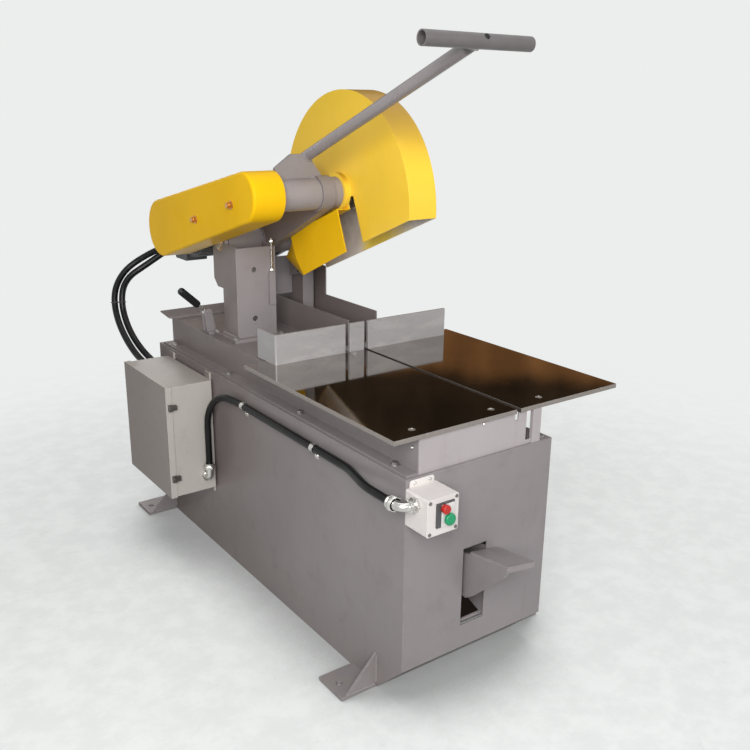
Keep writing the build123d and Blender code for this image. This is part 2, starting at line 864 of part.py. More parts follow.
# Handle: a bracket plate on the spindle housing, a stem that lies in its top edge and a cross bar
stem_x = -40.0
stem_z = spindle_z + 114
bar_y = spindle_y - handle_reach
bar_z = stem_z + handle_climb
stem_radius = 16.5
bar_radius = 17.5
stem_tail = 36.0
stem_run = Vector(0, bar_y - spindle_y, bar_z - stem_z)
stem_plane = Plane(origin=(stem_x, spindle_y, stem_z), x_dir=(1, 0, 0), z_dir=stem_run)
bar_left = stem_x - 157

with BuildPart() as handle_bracket:
    outline(
        Plane.XZ.offset(-spindle_y - 6),
        [
            (belt_back + 5, spindle_z + 30),
            (belt_back + 5, spindle_z + 80),
            (stem_x - 62, spindle_z + 118),
            (stem_x - 6, spindle_z + 118),
            (stem_x + 42, spindle_z + 54),
            (stem_x + 42, spindle_z + 30),
        ],
        12,
    )
    disc(across(belt_back), (spindle_y, spindle_z), housing_radius, 400, mode=Mode.SUBTRACT)
    disc(
        across(arm_left - 14),
        (spindle_y, spindle_z),
        clamp_radius,
        clamp_length,
        mode=Mode.SUBTRACT,
    )
    disc(stem_plane.offset(-80), (0, 0), stem_radius, 160, mode=Mode.SUBTRACT)
handle_bracket.part.label = "handle_bracket"
export_step(handle_bracket.part, "parts/handle_bracket.step")

with BuildPart() as handle:
    disc(stem_plane.offset(-stem_tail), (0, 0), stem_radius, stem_run.length + stem_tail)
    disc(across(bar_left), (bar_y, bar_z), bar_radius, handle_bar_length)
    disc(
        stem_plane.offset(-stem_tail - 1),
        (0, 0),
        stem_radius - 3.5,
        stem_run.length + stem_tail - bar_radius - 1,
        mode=Mode.SUBTRACT,
    )
    disc(across(bar_left - 1), (bar_y, bar_z), bar_radius - 3, handle_bar_length + 2, mode=Mode.SUBTRACT)
handle.part.label = "handle"
export_step(handle.part, "parts/handle.step")

# Motor: ribbed body with end bell and feet, fan cover and cable box
motor_left = belt_back + 16
motor_right = motor_left + 296
rib_count = 30

with BuildPart() as motor_body:
    rib_points = []
    for rib in range(rib_count):
        for share, radius in ((0.0, 104), (0.3, 104), (0.42, motor_radius), (0.88, motor_radius)):
            turn = 2 * math.pi * (rib + share) / rib_count
            rib_points.append((motor_y + radius * math.cos(turn), motor_z + radius * math.sin(turn)))
    outline(across(motor_left), rib_points, motor_right - motor_left)
    disc(across(motor_left - 8), (motor_y, motor_z), 100, 8)
    disc(across(motor_left - 14), (motor_y, motor_z), 50, 8)
    for start in (arm_left + 6, arm_left + 96):
        block(
            (start, start + 30),
            (motor_y - 71, motor_y + 71),
            (motor_plate, motor_z - 88),
        )
    disc(across(motor_left - 15), (motor_y, motor_z), 19.05, 60, mode=Mode.SUBTRACT)
motor_body.part.label = "motor_body"
export_step(motor_body.part, "parts/motor_body.step")

with BuildPart() as motor_fan_cover:
    disc(across(motor_right), (motor_y, motor_z), 107, 54)
    fillet(motor_fan_cover.faces().sort_by(Axis.X)[-1].edges(), 14)
    disc(across(motor_right), (motor_y, motor_z), 103, 48, mode=Mode.SUBTRACT)
    with BuildSketch(across(motor_right + 44)):
        with Locations((motor_y, motor_z)):
            with PolarLocations(62, 12):
                SlotOverall(52, 9)
    extrude(amount=12, mode=Mode.SUBTRACT)
motor_fan_cover.part.label = "motor_fan_cover"
export_step(motor_fan_cover.part, "parts/motor_fan_cover.step")

cable_box_x = (motor_left + 6, motor_left + 86)
cable_box_y = (motor_y + 64, motor_y + 164)
cable_box_z = (motor_z - 137, motor_z - 57)
cable_ends_x = (cable_box_x[1] - 20, cable_box_x[0] + 20)
cable_end_z = motor_z - 112

with BuildPart() as motor_cable_box:
    block(cable_box_x, cable_box_y, cable_box_z)
    fillet(motor_cable_box.edges().filter_by(Axis.X), 6)
    disc(across(motor_left - 1), (motor_y, motor_z), motor_radius, 200, mode=Mode.SUBTRACT)
    for end_x in cable_ends_x:
        ring(
            Plane.XZ.offset(-cable_box_y[1] - 24),
            (end_x, cable_end_z),
            cable_diameter / 2 + 5,
            cable_diameter / 2 + 0.3,
            24,
        )
        disc(
            Plane.XZ.offset(-cable_box_y[1] - 25),
            (end_x, cable_end_z),
            cable_diameter / 2 + 0.3,
            35,
            mode=Mode.SUBTRACT,
        )
motor_cable_box.part.label = "motor_cable_box"
export_step(motor_cable_box.part, "parts/motor_cable_box.step")

with BuildPart() as motor_shaft:
    disc(across(pulley_left - 3), (motor_y, motor_z), 19, motor_left + 40 - pulley_left + 3)
motor_shaft.part.label = "motor_shaft"
export_step(motor_shaft.part, "parts/motor_shaft.step")

with BuildPart() as motor_pulley:
    pulley((motor_y, motor_z), motor_pulley_radius, 19)
motor_pulley.part.label = "motor_pulley"
export_step(motor_pulley.part, "parts/motor_pulley.step")

# Control box on the left side, on four brackets, with a hinged cover
box_wall = -half_width - 6
box_outer = box_wall - box_depth
box_front = cab_front + 1055
box_rear = box_front + box_length
box_bottom = cabinet_height - 415
box_top = box_bottom + box_height
box_sheet = 2.0
cover_gap = 0.6
cover_lip = 22.0
hinge_x = box_outer - 2 + cover_lip + 2
hinge_y = box_rear + cover_gap + box_sheet + 6
hinge_heights = (box_bottom + 50, box_top - 90)
gland_x = (box_wall - 20, box_wall - 56)
gland_z = box_top - 47
fitting_x = box_wall - 32
fitting_z = box_bottom + 53

with BuildPart() as control_box:
    block((box_outer, box_wall), (box_front, box_rear), (box_bottom, box_top))
    block(
        (box_outer - 1, box_wall - box_sheet),
        (box_front + box_sheet, box_rear - box_sheet),
        (box_bottom + box_sheet, box_top - box_sheet),
        mode=Mode.SUBTRACT,
    )
    for spot_x in gland_x:
        disc(Plane.XZ.offset(-box_rear - 5), (spot_x, gland_z), cable_diameter / 2 + 1, 10, mode=Mode.SUBTRACT)
    disc(Plane.XZ.offset(-box_front - 5), (fitting_x, fitting_z), 12, 10, mode=Mode.SUBTRACT)
    for height in hinge_heights:
        disc(Plane.XY.offset(height - 8), (hinge_x, hinge_y), 2.4, 56)
        for low in (height - 8, height + 41):
            block((hinge_x, hinge_x + 14), (box_rear, hinge_y), (low, low + 7))
            disc(Plane.XY.offset(low), (hinge_x, hinge_y), 5, 7)
control_box.part.label = "control_box"
export_step(control_box.part, "parts/control_box.step")

with BuildPart() as control_box_brackets:
    for low in (box_bottom - 22, box_top - 22):
        for front in (box_front + 14, box_rear - 49):
            block((box_wall, -half_width), (front, front + 35), (low, low + 44))
control_box_brackets.part.label = "control_box_brackets"
export_step(control_box_brackets.part, "parts/control_box_brackets.step")

with BuildPart() as motor_starter:
    back = box_wall - box_sheet
    block((back - 4, back), (box_front + 40, box_rear - 40), (box_bottom + 40, box_top - 70))
    block((back - 74, back - 4), (box_front + 110, box_front + 200), (box_bottom + 160, box_bottom + 290))
    block((back - 62, back - 4), (box_front + 115, box_front + 195), (box_bottom + 84, box_bottom + 158))
    block((back - 34, back - 4), (box_front + 230, box_front + 290), (box_bottom + 90, box_bottom + 270))
motor_starter.part.label = "motor_starter"
export_step(motor_starter.part, "parts/motor_starter.step")

cover_face = box_outer - 2 - box_sheet
cover_edge = cover_face + cover_lip

with BuildPart() as control_box_cover:
    block(
        (cover_face, cover_edge),
        (box_front - cover_gap - box_sheet, box_rear + cover_gap + box_sheet),
        (box_bottom - cover_gap - box_sheet, box_top + cover_gap + box_sheet),
    )
    block(
        (cover_face + box_sheet, cover_edge + 1),
        (box_front - cover_gap, box_rear + cover_gap),
        (box_bottom - cover_gap, box_top + cover_gap),
        mode=Mode.SUBTRACT,
    )
    for height in hinge_heights:
        block(
            (cover_edge - 14, hinge_x),
            (box_rear + cover_gap + box_sheet, hinge_y),
            (height, height + 40),
        )
        disc(Plane.XY.offset(height), (hinge_x, hinge_y), 5, 40)
        disc(Plane.XY.offset(height - 1), (hinge_x, hinge_y), 2.45, 42, mode=Mode.SUBTRACT)
control_box_cover.part.label = "control_box_cover"
export_step(control_box_cover.part, "parts/control_box_cover.step")

clamp_heights = (box_bottom + 68, box_top - 68)
clamp_front = box_front - cover_gap - box_sheet

with BuildPart() as cover_clamps:
    for height in clamp_heights:
        tall = (height - 11, height + 11)
        short = (height - 8, height + 8)
        block((cover_edge - 16, cover_edge - 2), (clamp_front - 10, clamp_front), tall)
        block((cover_edge - 2, cover_edge + 12), (clamp_front - 10, clamp_front - 1), short)
        block((cover_edge + 1, cover_edge + 12), (clamp_front - 2, clamp_front + 2), short)
        disc(Plane.XZ.offset(-clamp_front + 10), (cover_edge - 9, height), 5.5, 5)
cover_clamps.part.label = "cover_clamps"
export_step(cover_clamps.part, "parts/cover_clamps.step")

# Start and stop station on the front panel
switch_x = (-half_width, -half_width + switch_size)
switch_z = (cabinet_height - 120, cabinet_height - 120 + switch_size)
switch_front = cab_front - 80
stop_spot = (switch_x[0] + 48, switch_z[0] + 69)
start_spot = (switch_x[0] + 61, switch_z[0] + 40)
elbow_y = cab_front - 40
elbow_z = cabinet_height - 47

with BuildPart() as switch_box:
    block(switch_x, (switch_front, cab_front), switch_z)
    fillet(switch_box.edges().filter_by(Axis.Y), 5)
    block(
        (switch_x[0] + 3, switch_x[1] - 3),
        (switch_front - 1, cab_front - 3),
        (switch_z[0] + 3, switch_z[1] - 3),
        mode=Mode.SUBTRACT,
    )
    disc(across(switch_x[0] - 1), (elbow_y, elbow_z), 11, 6, mode=Mode.SUBTRACT)
switch_box.part.label = "switch_box"
export_step(switch_box.part, "parts/switch_box.step")

with BuildPart() as switch_cover:
    block(switch_x, (switch_front - 3, switch_front), switch_z)
    fillet(switch_cover.edges().filter_by(Axis.Y), 5)
    block(
        (switch_x[0] + 26, switch_x[1] - 17),
        (switch_front - 8, switch_front - 3),
        (switch_z[0] + 21, switch_z[0] + 84),
    )
    for spot in (stop_spot, start_spot):
        disc(Plane.XZ.offset(-switch_front - 10), spot, 10.4, 30, mode=Mode.SUBTRACT)
    for corner_x in (switch_x[0] + 8, switch_x[1] - 8):
        for corner_z in (switch_z[0] + 8, switch_z[1] - 8):
            disc(Plane.XZ.offset(-switch_front + 3), (corner_x, corner_z), 4.5, 2.4)
switch_cover.part.label = "switch_cover"
export_step(switch_cover.part, "parts/switch_cover.step")

with BuildPart() as stop_button:
    disc(Plane.XZ.offset(-switch_front - 16), stop_spot, 10, 32)
    disc(Plane.XZ.offset(-switch_front + 13), stop_spot, 11.5, 8)
    fillet(stop_button.faces().sort_by(Axis.Y)[0].edges(), 2.5)
stop_button.part.label = "stop_button"
export_step(stop_button.part, "parts/stop_button.step")

with BuildPart() as start_button:
    disc(Plane.XZ.offset(-switch_front - 16), start_spot, 10, 32)
    disc(Plane.XZ.offset(-switch_front + 13), start_spot, 15.5, 8)
    fillet(start_button.faces().sort_by(Axis.Y)[0].edges(), 3.5)
start_button.part.label = "start_button"
export_step(start_button.part, "parts/start_button.step")

# Conduit clipped along the left side from the control box to the switch station
conduit_x = -half_width - conduit_radius - 1
clip_spots = (cab_front + 398, cab_front + 811)
clip_z = cabinet_height - 48
elbow_out = -half_width - 42
elbow_end = cab_front - 14
riser_y = box_front - 26
conduit_points = [
    (elbow_out, elbow_end, elbow_z),
    (elbow_out, cab_front + 108, elbow_z),
    (conduit_x, cab_front + 230, clip_z),
    (conduit_x, cab_front + 850, clip_z),
    (fitting_x, riser_y, clip_z),
    (fitting_x, riser_y, fitting_z + 32),
]

with BuildPart() as conduit:
    with BuildLine() as conduit_path:
        FilletPolyline(*conduit_points, radius=[240, 240, 300, 130])
    with BuildSketch(Plane(origin=conduit_path.line @ 0, z_dir=conduit_path.line % 0)):
        Circle(conduit_radius)
    sweep()
conduit.part.label = "conduit"
export_step(conduit.part, "parts/conduit.step")

with BuildPart() as conduit_fittings:
    with BuildLine() as elbow_path:
        FilletPolyline(
            (-half_width, elbow_y, elbow_z),
            (elbow_out, elbow_y, elbow_z),
            (elbow_out, elbow_end, elbow_z),
            radius=24,
        )
    with BuildSketch(Plane(origin=elbow_path.line @ 0, z_dir=elbow_path.line % 0)):
        Circle(13)
    sweep()
    hexagon(across(-half_width - 9), (elbow_y, elbow_z), 34, 9)
    ring(Plane.XZ.offset(-elbow_end - 22), (elbow_out, elbow_z), 16, conduit_radius + 0.2, 22)
    with BuildLine() as riser_path:
        FilletPolyline(
            (fitting_x, box_front, fitting_z),
            (fitting_x, riser_y, fitting_z),
            (fitting_x, riser_y, fitting_z + 32),
            radius=16,
        )
    with BuildSketch(Plane(origin=riser_path.line @ 0, z_dir=riser_path.line % 0)):
        Circle(13)
    sweep()
    hexagon(Plane.XZ.offset(-box_front), (fitting_x, fitting_z), 34, 8)
    ring(Plane.XY.offset(fitting_z + 32), (fitting_x, riser_y), 16, conduit_radius + 1, 20)
    for spot_x in gland_x:
        ring(
            Plane.XZ.offset(-box_rear - 28),
            (spot_x, gland_z),
            cable_diameter / 2 + 4,
            cable_diameter / 2 + 0.3,
            28,
        )
    for clip_y in clip_spots:
        ring(
            Plane.XZ.offset(-clip_y - 8),
            (conduit_x, clip_z),
            conduit_radius + 2.6,
            conduit_radius + 0.6,
            16,
        )
        block((-half_width, 0), (clip_y - 9, clip_y + 9), (clip_z - 20, clip_z + 20), mode=Mode.SUBTRACT)
        block((-half_width - 2, -half_width), (clip_y - 8, clip_y + 8), (clip_z - 34, clip_z - 8))
        hexagon(Plane.YZ.offset(-half_width - 6), (clip_y, clip_z - 25), 10, 4)
conduit_fittings.part.label = "conduit_fittings"
export_step(conduit_fittings.part, "parts/conduit_fittings.step")

# Foot pedal on a shaft inside the cabinet, reaching out through the slot
pedal_pivot = (cab_front + 250, 0.454 * cabinet_height)
pedal_arm_x = -37.0
pedal_width = 94.0
pedal_length = 140.0
pedal_top = 0.607 * cabinet_height

with BuildPart() as pedal_mount:
    for left in (-70.0, 38.0):
        outline(
            across(left),
            [
                (cab_front + cabinet_sheet, pedal_slot_z[0] - 10),
                (cab_front + cabinet_sheet, pedal_pivot[1] + 90),
                (pedal_pivot[0] + 22, pedal_pivot[1] + 30),
                (pedal_pivot[0] + 22, pedal_pivot[1] - 30),
            ],
            6,
        )
    disc(across(-76), pedal_pivot, 12, 132)
    disc(across(-70), (cab_front + 24, pedal_slot_z[0] - 4), 6, 114)
pedal_mount.part.label = "pedal_mount"
export_step(pedal_mount.part, "parts/pedal_mount.step")

# The tread rises to the front and falls a little to the right
tread_across = Vector(1, 0, -0.143)
tread_back = Vector(0, 1, -0.138)
tread = Plane(
    origin=(pedal_arm_x, cab_front - 8, pedal_top - 6),
    x_dir=tread_across,
    z_dir=tread_across.cross(tread_back),
)

with BuildPart() as foot_pedal:
    outline(
        tread,
        [(0, 0), (pedal_width, 0), (pedal_width, -pedal_length), (0, -pedal_length)],
        6,
    )
    outline(
        tread.offset(-9),
        [
            (0, 6 - pedal_length),
            (pedal_width, 6 - pedal_length),
            (pedal_width, -pedal_length),
            (0, -pedal_length),
        ],
        12,
    )
    outline(
        across(pedal_arm_x),
        [
            (cab_front - 144, pedal_top + 14),
            (cab_front - 8, pedal_top - 5),
            (cab_front + 2, pedal_top - 10),
            (pedal_pivot[0], pedal_pivot[1] + 22),
            (pedal_pivot[0], pedal_pivot[1] - 22),
            (cab_front + 2, pedal_pivot[1] - 42),
            (cab_front - 26, pedal_pivot[1] - 22),
            (cab_front - 132, pedal_top - 18),
            (cab_front - 144, pedal_top),
        ],
        8,
    )
    ring(across(-58), pedal_pivot, 22, 12.05, 84)
    disc(across(-59), pedal_pivot, 12.05, 90, mode=Mode.SUBTRACT)
foot_pedal.part.label = "foot_pedal"
export_step(foot_pedal.part, "parts/foot_pedal.step")

# Clamp lever on a forked bracket at the back of the deck
lever_pivot = (frame_left + 13, deck_top + 75)
lever_y = pivot_y + 44
lever_end = (frame_left - 81, deck_top + 162)
lever_run = Vector(lever_end[0] - lever_pivot[0], 0, lever_end[1] - lever_pivot[1])

with BuildPart() as lever_bracket:
    block((frame_left + 6, frame_left + 45), (lever_y - 27, lever_y + 27), (deck_top, deck_top + 10))
    for back in (lever_y - 16, lever_y + 10):
        outline(
            Plane.XZ.offset(-back - 6),
            [
                (frame_left + 6, deck_top + 10),
                (frame_left + 39, deck_top + 10),
                (frame_left + 27, deck_top + 75),
                (frame_left - 1, deck_top + 75),
            ],
            6,
        )
        disc(Plane.XZ.offset(-back - 6), lever_pivot, 14, 6)
    disc(Plane.XZ.offset(-lever_y - 20), lever_pivot, 5, 40)
lever_bracket.part.label = "lever_bracket"
export_step(lever_bracket.part, "parts/lever_bracket.step")

lever_plane = Plane(origin=(lever_pivot[0], lever_y, lever_pivot[1]), x_dir=(0, 1, 0), z_dir=lever_run)

with BuildPart() as clamp_lever:
    disc(Plane.XZ.offset(-lever_y - 8), lever_pivot, 13, 16)
    disc(lever_plane, (0, 0), 6, lever_run.length - 6)
    disc(Plane.XZ.offset(-lever_y - 20), lever_pivot, 5.05, 40, mode=Mode.SUBTRACT)
clamp_lever.part.label = "clamp_lever"
export_step(clamp_lever.part, "parts/clamp_lever.step")

with BuildPart() as clamp_grip:
    grip_start = 40.0
    grip_length = lever_run.length - grip_start
    grip_plane = lever_plane.offset(grip_start)
    with BuildSketch(Plane(origin=grip_plane.origin, x_dir=lever_run, z_dir=(0, -1, 0))):
        with BuildLine():
            Polyline((0, 0), (0, 11), (6, 13))
            Polyline((6, 13), (grip_length - 6, 13))
            Polyline((grip_length - 6, 13), (grip_length, 9), (grip_length, 0), (0, 0))
        make_face()
    revolve(axis=Axis(grip_plane.origin, lever_run))
    disc(grip_plane.offset(-1), (0, 0), 6, grip_length - 5, mode=Mode.SUBTRACT)
clamp_grip.part.label = "clamp_grip"
export_step(clamp_grip.part, "parts/clamp_grip.step")

# Two free motor cables from the control box to the cable box on the motor
cable_start_y = box_rear + 4
cable_stop_y = cable_box_y[1] + 4


def cable_points(side, start_x, end_x):
    """Corners of one cable. The two lie side by side, each half their spacing from a middle line."""
    apart = side * (cable_diameter + 5) / 2
    middle_line = [
        ((box_wall - 57, box_rear + 228, gland_z + 64), (1, 0, 0)),
        ((box_wall - 59, box_rear + 314, gland_z + 144), (1, 0, 0)),
        ((box_wall - 50, box_rear + 341, gland_z + 229), (0.85, -0.53, 0)),
        ((box_wall - 7, box_rear + 361, gland_z + 287), (0.6, -0.6, -0.45)),
        ((box_wall + 55, box_rear + 353, gland_z + 328), (0.5, -0.8, -0.8)),
    ]
    points = [(start_x, cable_start_y, gland_z), (start_x, cable_start_y + 112, gland_z)]
    for place, sideways in middle_line:
        points.append(tuple(at + apart * share for at, share in zip(place, sideways)))
    points.append((end_x, cable_stop_y + 134, cable_end_z))
    points.append((end_x, cable_stop_y, cable_end_z))
    return points


def cord_radii(points):
    """Largest easy radius at each inner corner of a run of points."""
    radii = []
    for before, corner, after in zip(points, points[1:], points[2:]):
        into = Vector(*corner) - Vector(*before)
        out = Vector(*after) - Vector(*corner)
        half_turn = math.radians(into.get_angle(out)) / 2
        radii.append(0.45 * min(into.length, out.length) / math.tan(half_turn))
    return radii


cable_near_points = cable_points(1, gland_x[0], cable_ends_x[0])
cable_far_points = cable_points(-1, gland_x[1], cable_ends_x[1])
print("cable radii", [round(value) for value in cord_radii(cable_near_points)])
print("cable radii", [round(value) for value in cord_radii(cable_far_points)])

with BuildPart() as motor_cable_near:
    with BuildLine() as near_path:
        FilletPolyline(*cable_near_points, radius=cord_radii(cable_near_points))
    with BuildSketch(Plane(origin=near_path.line @ 0, z_dir=near_path.line % 0)):
        Circle(cable_diameter / 2)
    sweep()
motor_cable_near.part.label = "motor_cable_near"
export_step(motor_cable_near.part, "parts/motor_cable_near.step")

with BuildPart() as motor_cable_far:
    with BuildLine() as far_path:
        FilletPolyline(*cable_far_points, radius=cord_radii(cable_far_points))
    with BuildSketch(Plane(origin=far_path.line @ 0, z_dir=far_path.line % 0)):
        Circle(cable_diameter / 2)
    sweep()
motor_cable_far.part.label = "motor_cable_far"
export_step(motor_cable_far.part, "parts/motor_cable_far.step")

for cable_path in (near_path, far_path):
    print("cable length", round(sum(piece.length for piece in cable_path.line.edges())))
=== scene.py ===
"""Finishes, cables, small hardware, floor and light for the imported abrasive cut-off saw."""

import json
import math

import bmesh
import bpy
from mathutils import Matrix, Vector


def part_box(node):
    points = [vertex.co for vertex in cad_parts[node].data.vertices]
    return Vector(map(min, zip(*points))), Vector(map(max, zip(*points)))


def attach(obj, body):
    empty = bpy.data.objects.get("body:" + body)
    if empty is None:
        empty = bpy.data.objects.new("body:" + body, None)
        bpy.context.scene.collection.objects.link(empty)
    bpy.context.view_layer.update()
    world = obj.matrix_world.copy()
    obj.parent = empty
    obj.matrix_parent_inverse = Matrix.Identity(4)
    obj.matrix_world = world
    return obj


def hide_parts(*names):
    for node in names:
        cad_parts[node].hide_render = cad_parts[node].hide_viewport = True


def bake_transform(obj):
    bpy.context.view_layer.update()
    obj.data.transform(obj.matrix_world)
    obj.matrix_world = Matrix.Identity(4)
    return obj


bl_info = {
    "name": "Abrasive cut-off saw",
    "version": (1, 0, 0),
    "blender": (4, 5, 0),
    "location": "View3D > Sidebar > Saw",
    "description": "Dresses a swinging-head abrasive cut-off saw and lights it for its picture",
    "category": "Object",
}

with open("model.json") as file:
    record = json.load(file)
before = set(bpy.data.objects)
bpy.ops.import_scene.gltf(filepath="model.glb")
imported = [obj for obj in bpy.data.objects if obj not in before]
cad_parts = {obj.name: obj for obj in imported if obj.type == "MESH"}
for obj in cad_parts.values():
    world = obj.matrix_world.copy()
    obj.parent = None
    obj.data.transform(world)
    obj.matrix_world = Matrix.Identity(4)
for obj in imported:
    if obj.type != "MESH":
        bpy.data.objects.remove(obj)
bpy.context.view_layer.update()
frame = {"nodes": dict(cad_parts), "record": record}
NODES = frame["nodes"]


def srgb(red, green, blue):
    """Linear colour of an 8-bit screen colour."""
    out = []
    for value in (red, green, blue):
        share = value / 255
        out.append(share / 12.92 if share <= 0.04045 else ((share + 0.055) / 1.055) ** 2.4)
    return tuple(out)


def shade(colour, factor=1.0):
    """The colour made lighter or darker, as a socket value."""
    return tuple(min(1.0, value * factor) for value in tuple(colour)[:3]) + (1.0,)


def screen(red, green, blue):
    """An 8-bit screen colour, as a socket value."""
    return shade(srgb(red, green, blue))


class SawColours(bpy.types.PropertyGroup):
    """Colours a user would change."""

    machine_gray: bpy.props.FloatVectorProperty(
        name="Machine gray", description="Enamel on the cabinet, frame and head",
        subtype="COLOR", size=3, min=0, max=1, default=srgb(134, 128, 129))
    guard_yellow: bpy.props.FloatVectorProperty(
        name="Guard yellow", description="Enamel on the belt guard and the spark chute",
        subtype="COLOR", size=3, min=0, max=1, default=srgb(232, 182, 20))
    # Paler than the guard yellow: a painted highlight on the wheel guard.
    lit_hood_yellow: bpy.props.FloatVectorProperty(
        name="Hood yellow", description="Paler enamel on the wheel guard",
        subtype="COLOR", size=3, min=0, max=1, default=srgb(242, 199, 58))
    table_steel: bpy.props.FloatVectorProperty(
        name="Table steel", description="Ground steel of the two table plates",
        subtype="COLOR", size=3, min=0, max=1, default=srgb(178, 172, 166))
    fence_gray: bpy.props.FloatVectorProperty(
        name="Fence gray", description="Rubbed paint on the fence plates",
        subtype="COLOR", size=3, min=0, max=1, default=srgb(160, 157, 157))
    box_gray: bpy.props.FloatVectorProperty(
        name="Control box", description="Powder coat on the control box",
        subtype="COLOR", size=3, min=0, max=1, default=srgb(178, 173, 167))
    switch_cream: bpy.props.FloatVectorProperty(
        name="Switch box", description="Powder coat on the start and stop station",
        subtype="COLOR", size=3, min=0, max=1, default=srgb(208, 202, 199))
    jacket_black: bpy.props.FloatVectorProperty(
        name="Jacket black", description="Outer jacket of the cables and the conduit",
        subtype="COLOR", size=3, min=0, max=1, default=srgb(14, 14, 15))
    zinc: bpy.props.FloatVectorProperty(
        name="Bright zinc", description="Plating on fittings, clips and glands",
        subtype="COLOR", size=3, min=0, max=1, default=srgb(214, 212, 208))
    floor: bpy.props.FloatVectorProperty(
        name="Floor", description="Pale studio floor and background",
        subtype="COLOR", size=3, min=0, max=1, default=srgb(236, 238, 237))


class SawSizes(bpy.types.PropertyGroup):
    """Sizes of the added hardware."""

    cable_diameter: bpy.props.FloatProperty(
        name="Cable diameter", description="Outside of each motor cable",
        default=0.024, unit="LENGTH")
    weld_radius: bpy.props.FloatProperty(
        name="Weld bead", description="Half width of a weld bead",
        default=0.0035, unit="LENGTH")
    rod_radius: bpy.props.FloatProperty(
        name="Stay rod", description="Radius of the threaded rod on the column",
        default=0.005, unit="LENGTH")
    screw_radius: bpy.props.FloatProperty(
        name="Screw head", description="Radius of a small pan head",
        default=0.005, unit="LENGTH")


class Wire:
    """A shader socket for use in Python arithmetic. Each operator adds one Math node."""

    def __init__(self, paint, socket):
        self.paint = paint
        self.socket = socket

    def math(self, operation, first, second):
        return self.paint.node("ShaderNodeMath", {"operation": operation}, {0: first, 1: second})

    def __add__(self, other):
        return self.math("ADD", self, other)

    def __radd__(self, other):
        return self.math("ADD", other, self)

    def __sub__(self, other):
        return self.math("SUBTRACT", self, other)

    def __rsub__(self, other):
        return self.math("SUBTRACT", other, self)

    def __mul__(self, other):
        return self.math("MULTIPLY", self, other)

    def __rmul__(self, other):
        return self.math("MULTIPLY", other, self)

    def __pow__(self, other):
        return self.math("POWER", self, other)

    def __gt__(self, other):
        return self.math("GREATER_THAN", self, other)

    def __lt__(self, other):
        return self.math("LESS_THAN", self, other)


class Paint:
    """Builds the nodes of one material or of the world."""

    def __init__(self, owner):
        owner.use_nodes = True
        self.owner = owner
        self.tree = owner.node_tree
        self.tree.nodes.clear()

    def node(self, kind, settings=None, sockets=None, output=0):
        """Adds a node, sets it up, fills its sockets and returns the chosen output or outputs."""
        made = self.tree.nodes.new(kind)
        for name, value in (settings or {}).items():
            setattr(made, name, value)
        for name, value in (sockets or {}).items():
            if isinstance(value, Wire):
                self.tree.links.new(value.socket, made.inputs[name])
            else:
                made.inputs[name].default_value = value
        if output is None:
            return None
        if isinstance(output, tuple):
            return [Wire(self, made.outputs[name]) for name in output]
        return Wire(self, made.outputs[output])

    def spot(self):
        """Place on the piece, which moves with it."""
        return self.node("ShaderNodeTexCoord", None, None, "Object")

    def axes(self):
        """The three coordinates of the place on the piece."""
        return self.node("ShaderNodeSeparateXYZ", None, {0: self.spot()}, (0, 1, 2))

    def facing(self):
        """The three parts of the way that the surface faces, which turn with the piece."""
        normal = self.node("ShaderNodeTexCoord", None, None, "Normal")
        return self.node("ShaderNodeSeparateXYZ", None, {0: normal}, (0, 1, 2))

    def grain(self, scale, detail, rough, stretch=None):
        """Noise between 0 and 1, stretched along some axes if asked."""
        where = self.spot()
        if stretch:
            where = self.node("ShaderNodeVectorMath", {"operation": "MULTIPLY"},
                              {0: where, 1: stretch})
        return self.node("ShaderNodeTexNoise", None,
                         {"Vector": where, "Scale": scale, "Detail": detail, "Roughness": rough})

    def span(self, value, low, high, start=0.0, end=1.0):
        """Smooth step of a value from low to high."""
        return self.node("ShaderNodeMapRange", {"interpolation_type": "SMOOTHSTEP"},
                         {"Value": value, "From Min": low, "From Max": high,
                          "To Min": start, "To Max": end})

    def between(self, value, limits):
        """1 where a value lies between two limits, 0 elsewhere."""
        return (value > limits[0]) * (value < limits[1])

    def within(self, y, z, middle, radius):
        """1 inside a cylinder that lies along X, 0 outside it."""
        off_y = y - middle[0]
        off_z = z - middle[1]
        return (off_y * off_y + off_z * off_z) < radius ** 2

    def mix(self, share, first, second, how="MIX"):
        """Mix of two colours."""
        return self.node("ShaderNodeMix", {"data_type": "RGBA", "blend_type": how},
                         {0: share, 6: first, 7: second}, 2)

    def facing_shade(self):
        """Painted shade with a brown painted reflection: some on faces that look up, more on those
        that look left, most at the back.
        """
        across, _, up = self.facing()
        cover = self.span(across, -0.5, -0.9) + self.span(up, 0.5, 0.9) * 0.4
        return cover * self.span(self.axes()[1], *SHADE_Y, 0.12, 1.0)

    def soft_edge(self, radius):
        """Normal with the sharp edges eased by a radius."""
        return self.node("ShaderNodeBevel", {"samples": 6}, {"Radius": radius})

    def edge_mask(self, radius):
        """1 along sharp edges, 0 on flats."""
        eased = self.soft_edge(radius)
        true = self.node("ShaderNodeNewGeometry", None, None, "Normal")
        agree = self.node("ShaderNodeVectorMath", {"operation": "DOT_PRODUCT"},
                          {0: eased, 1: true}, "Value")
        return self.span(agree, 0.995, 0.86)

    def bump(self, height, depth, normal):
        """Normal from a height, on top of another normal."""
        return self.node("ShaderNodeBump", None, {"Height": height, "Distance": depth,
                                                  "Strength": 1.0, "Normal": normal})

    def surface(self, **sockets):
        """Principled surface with the given sockets, as the material's output."""
        named = {name.replace("_", " "): value for name, value in sockets.items()}
        shader = self.node("ShaderNodeBsdfPrincipled", None, named)
        self.node("ShaderNodeOutputMaterial", None, {"Surface": shader}, None)


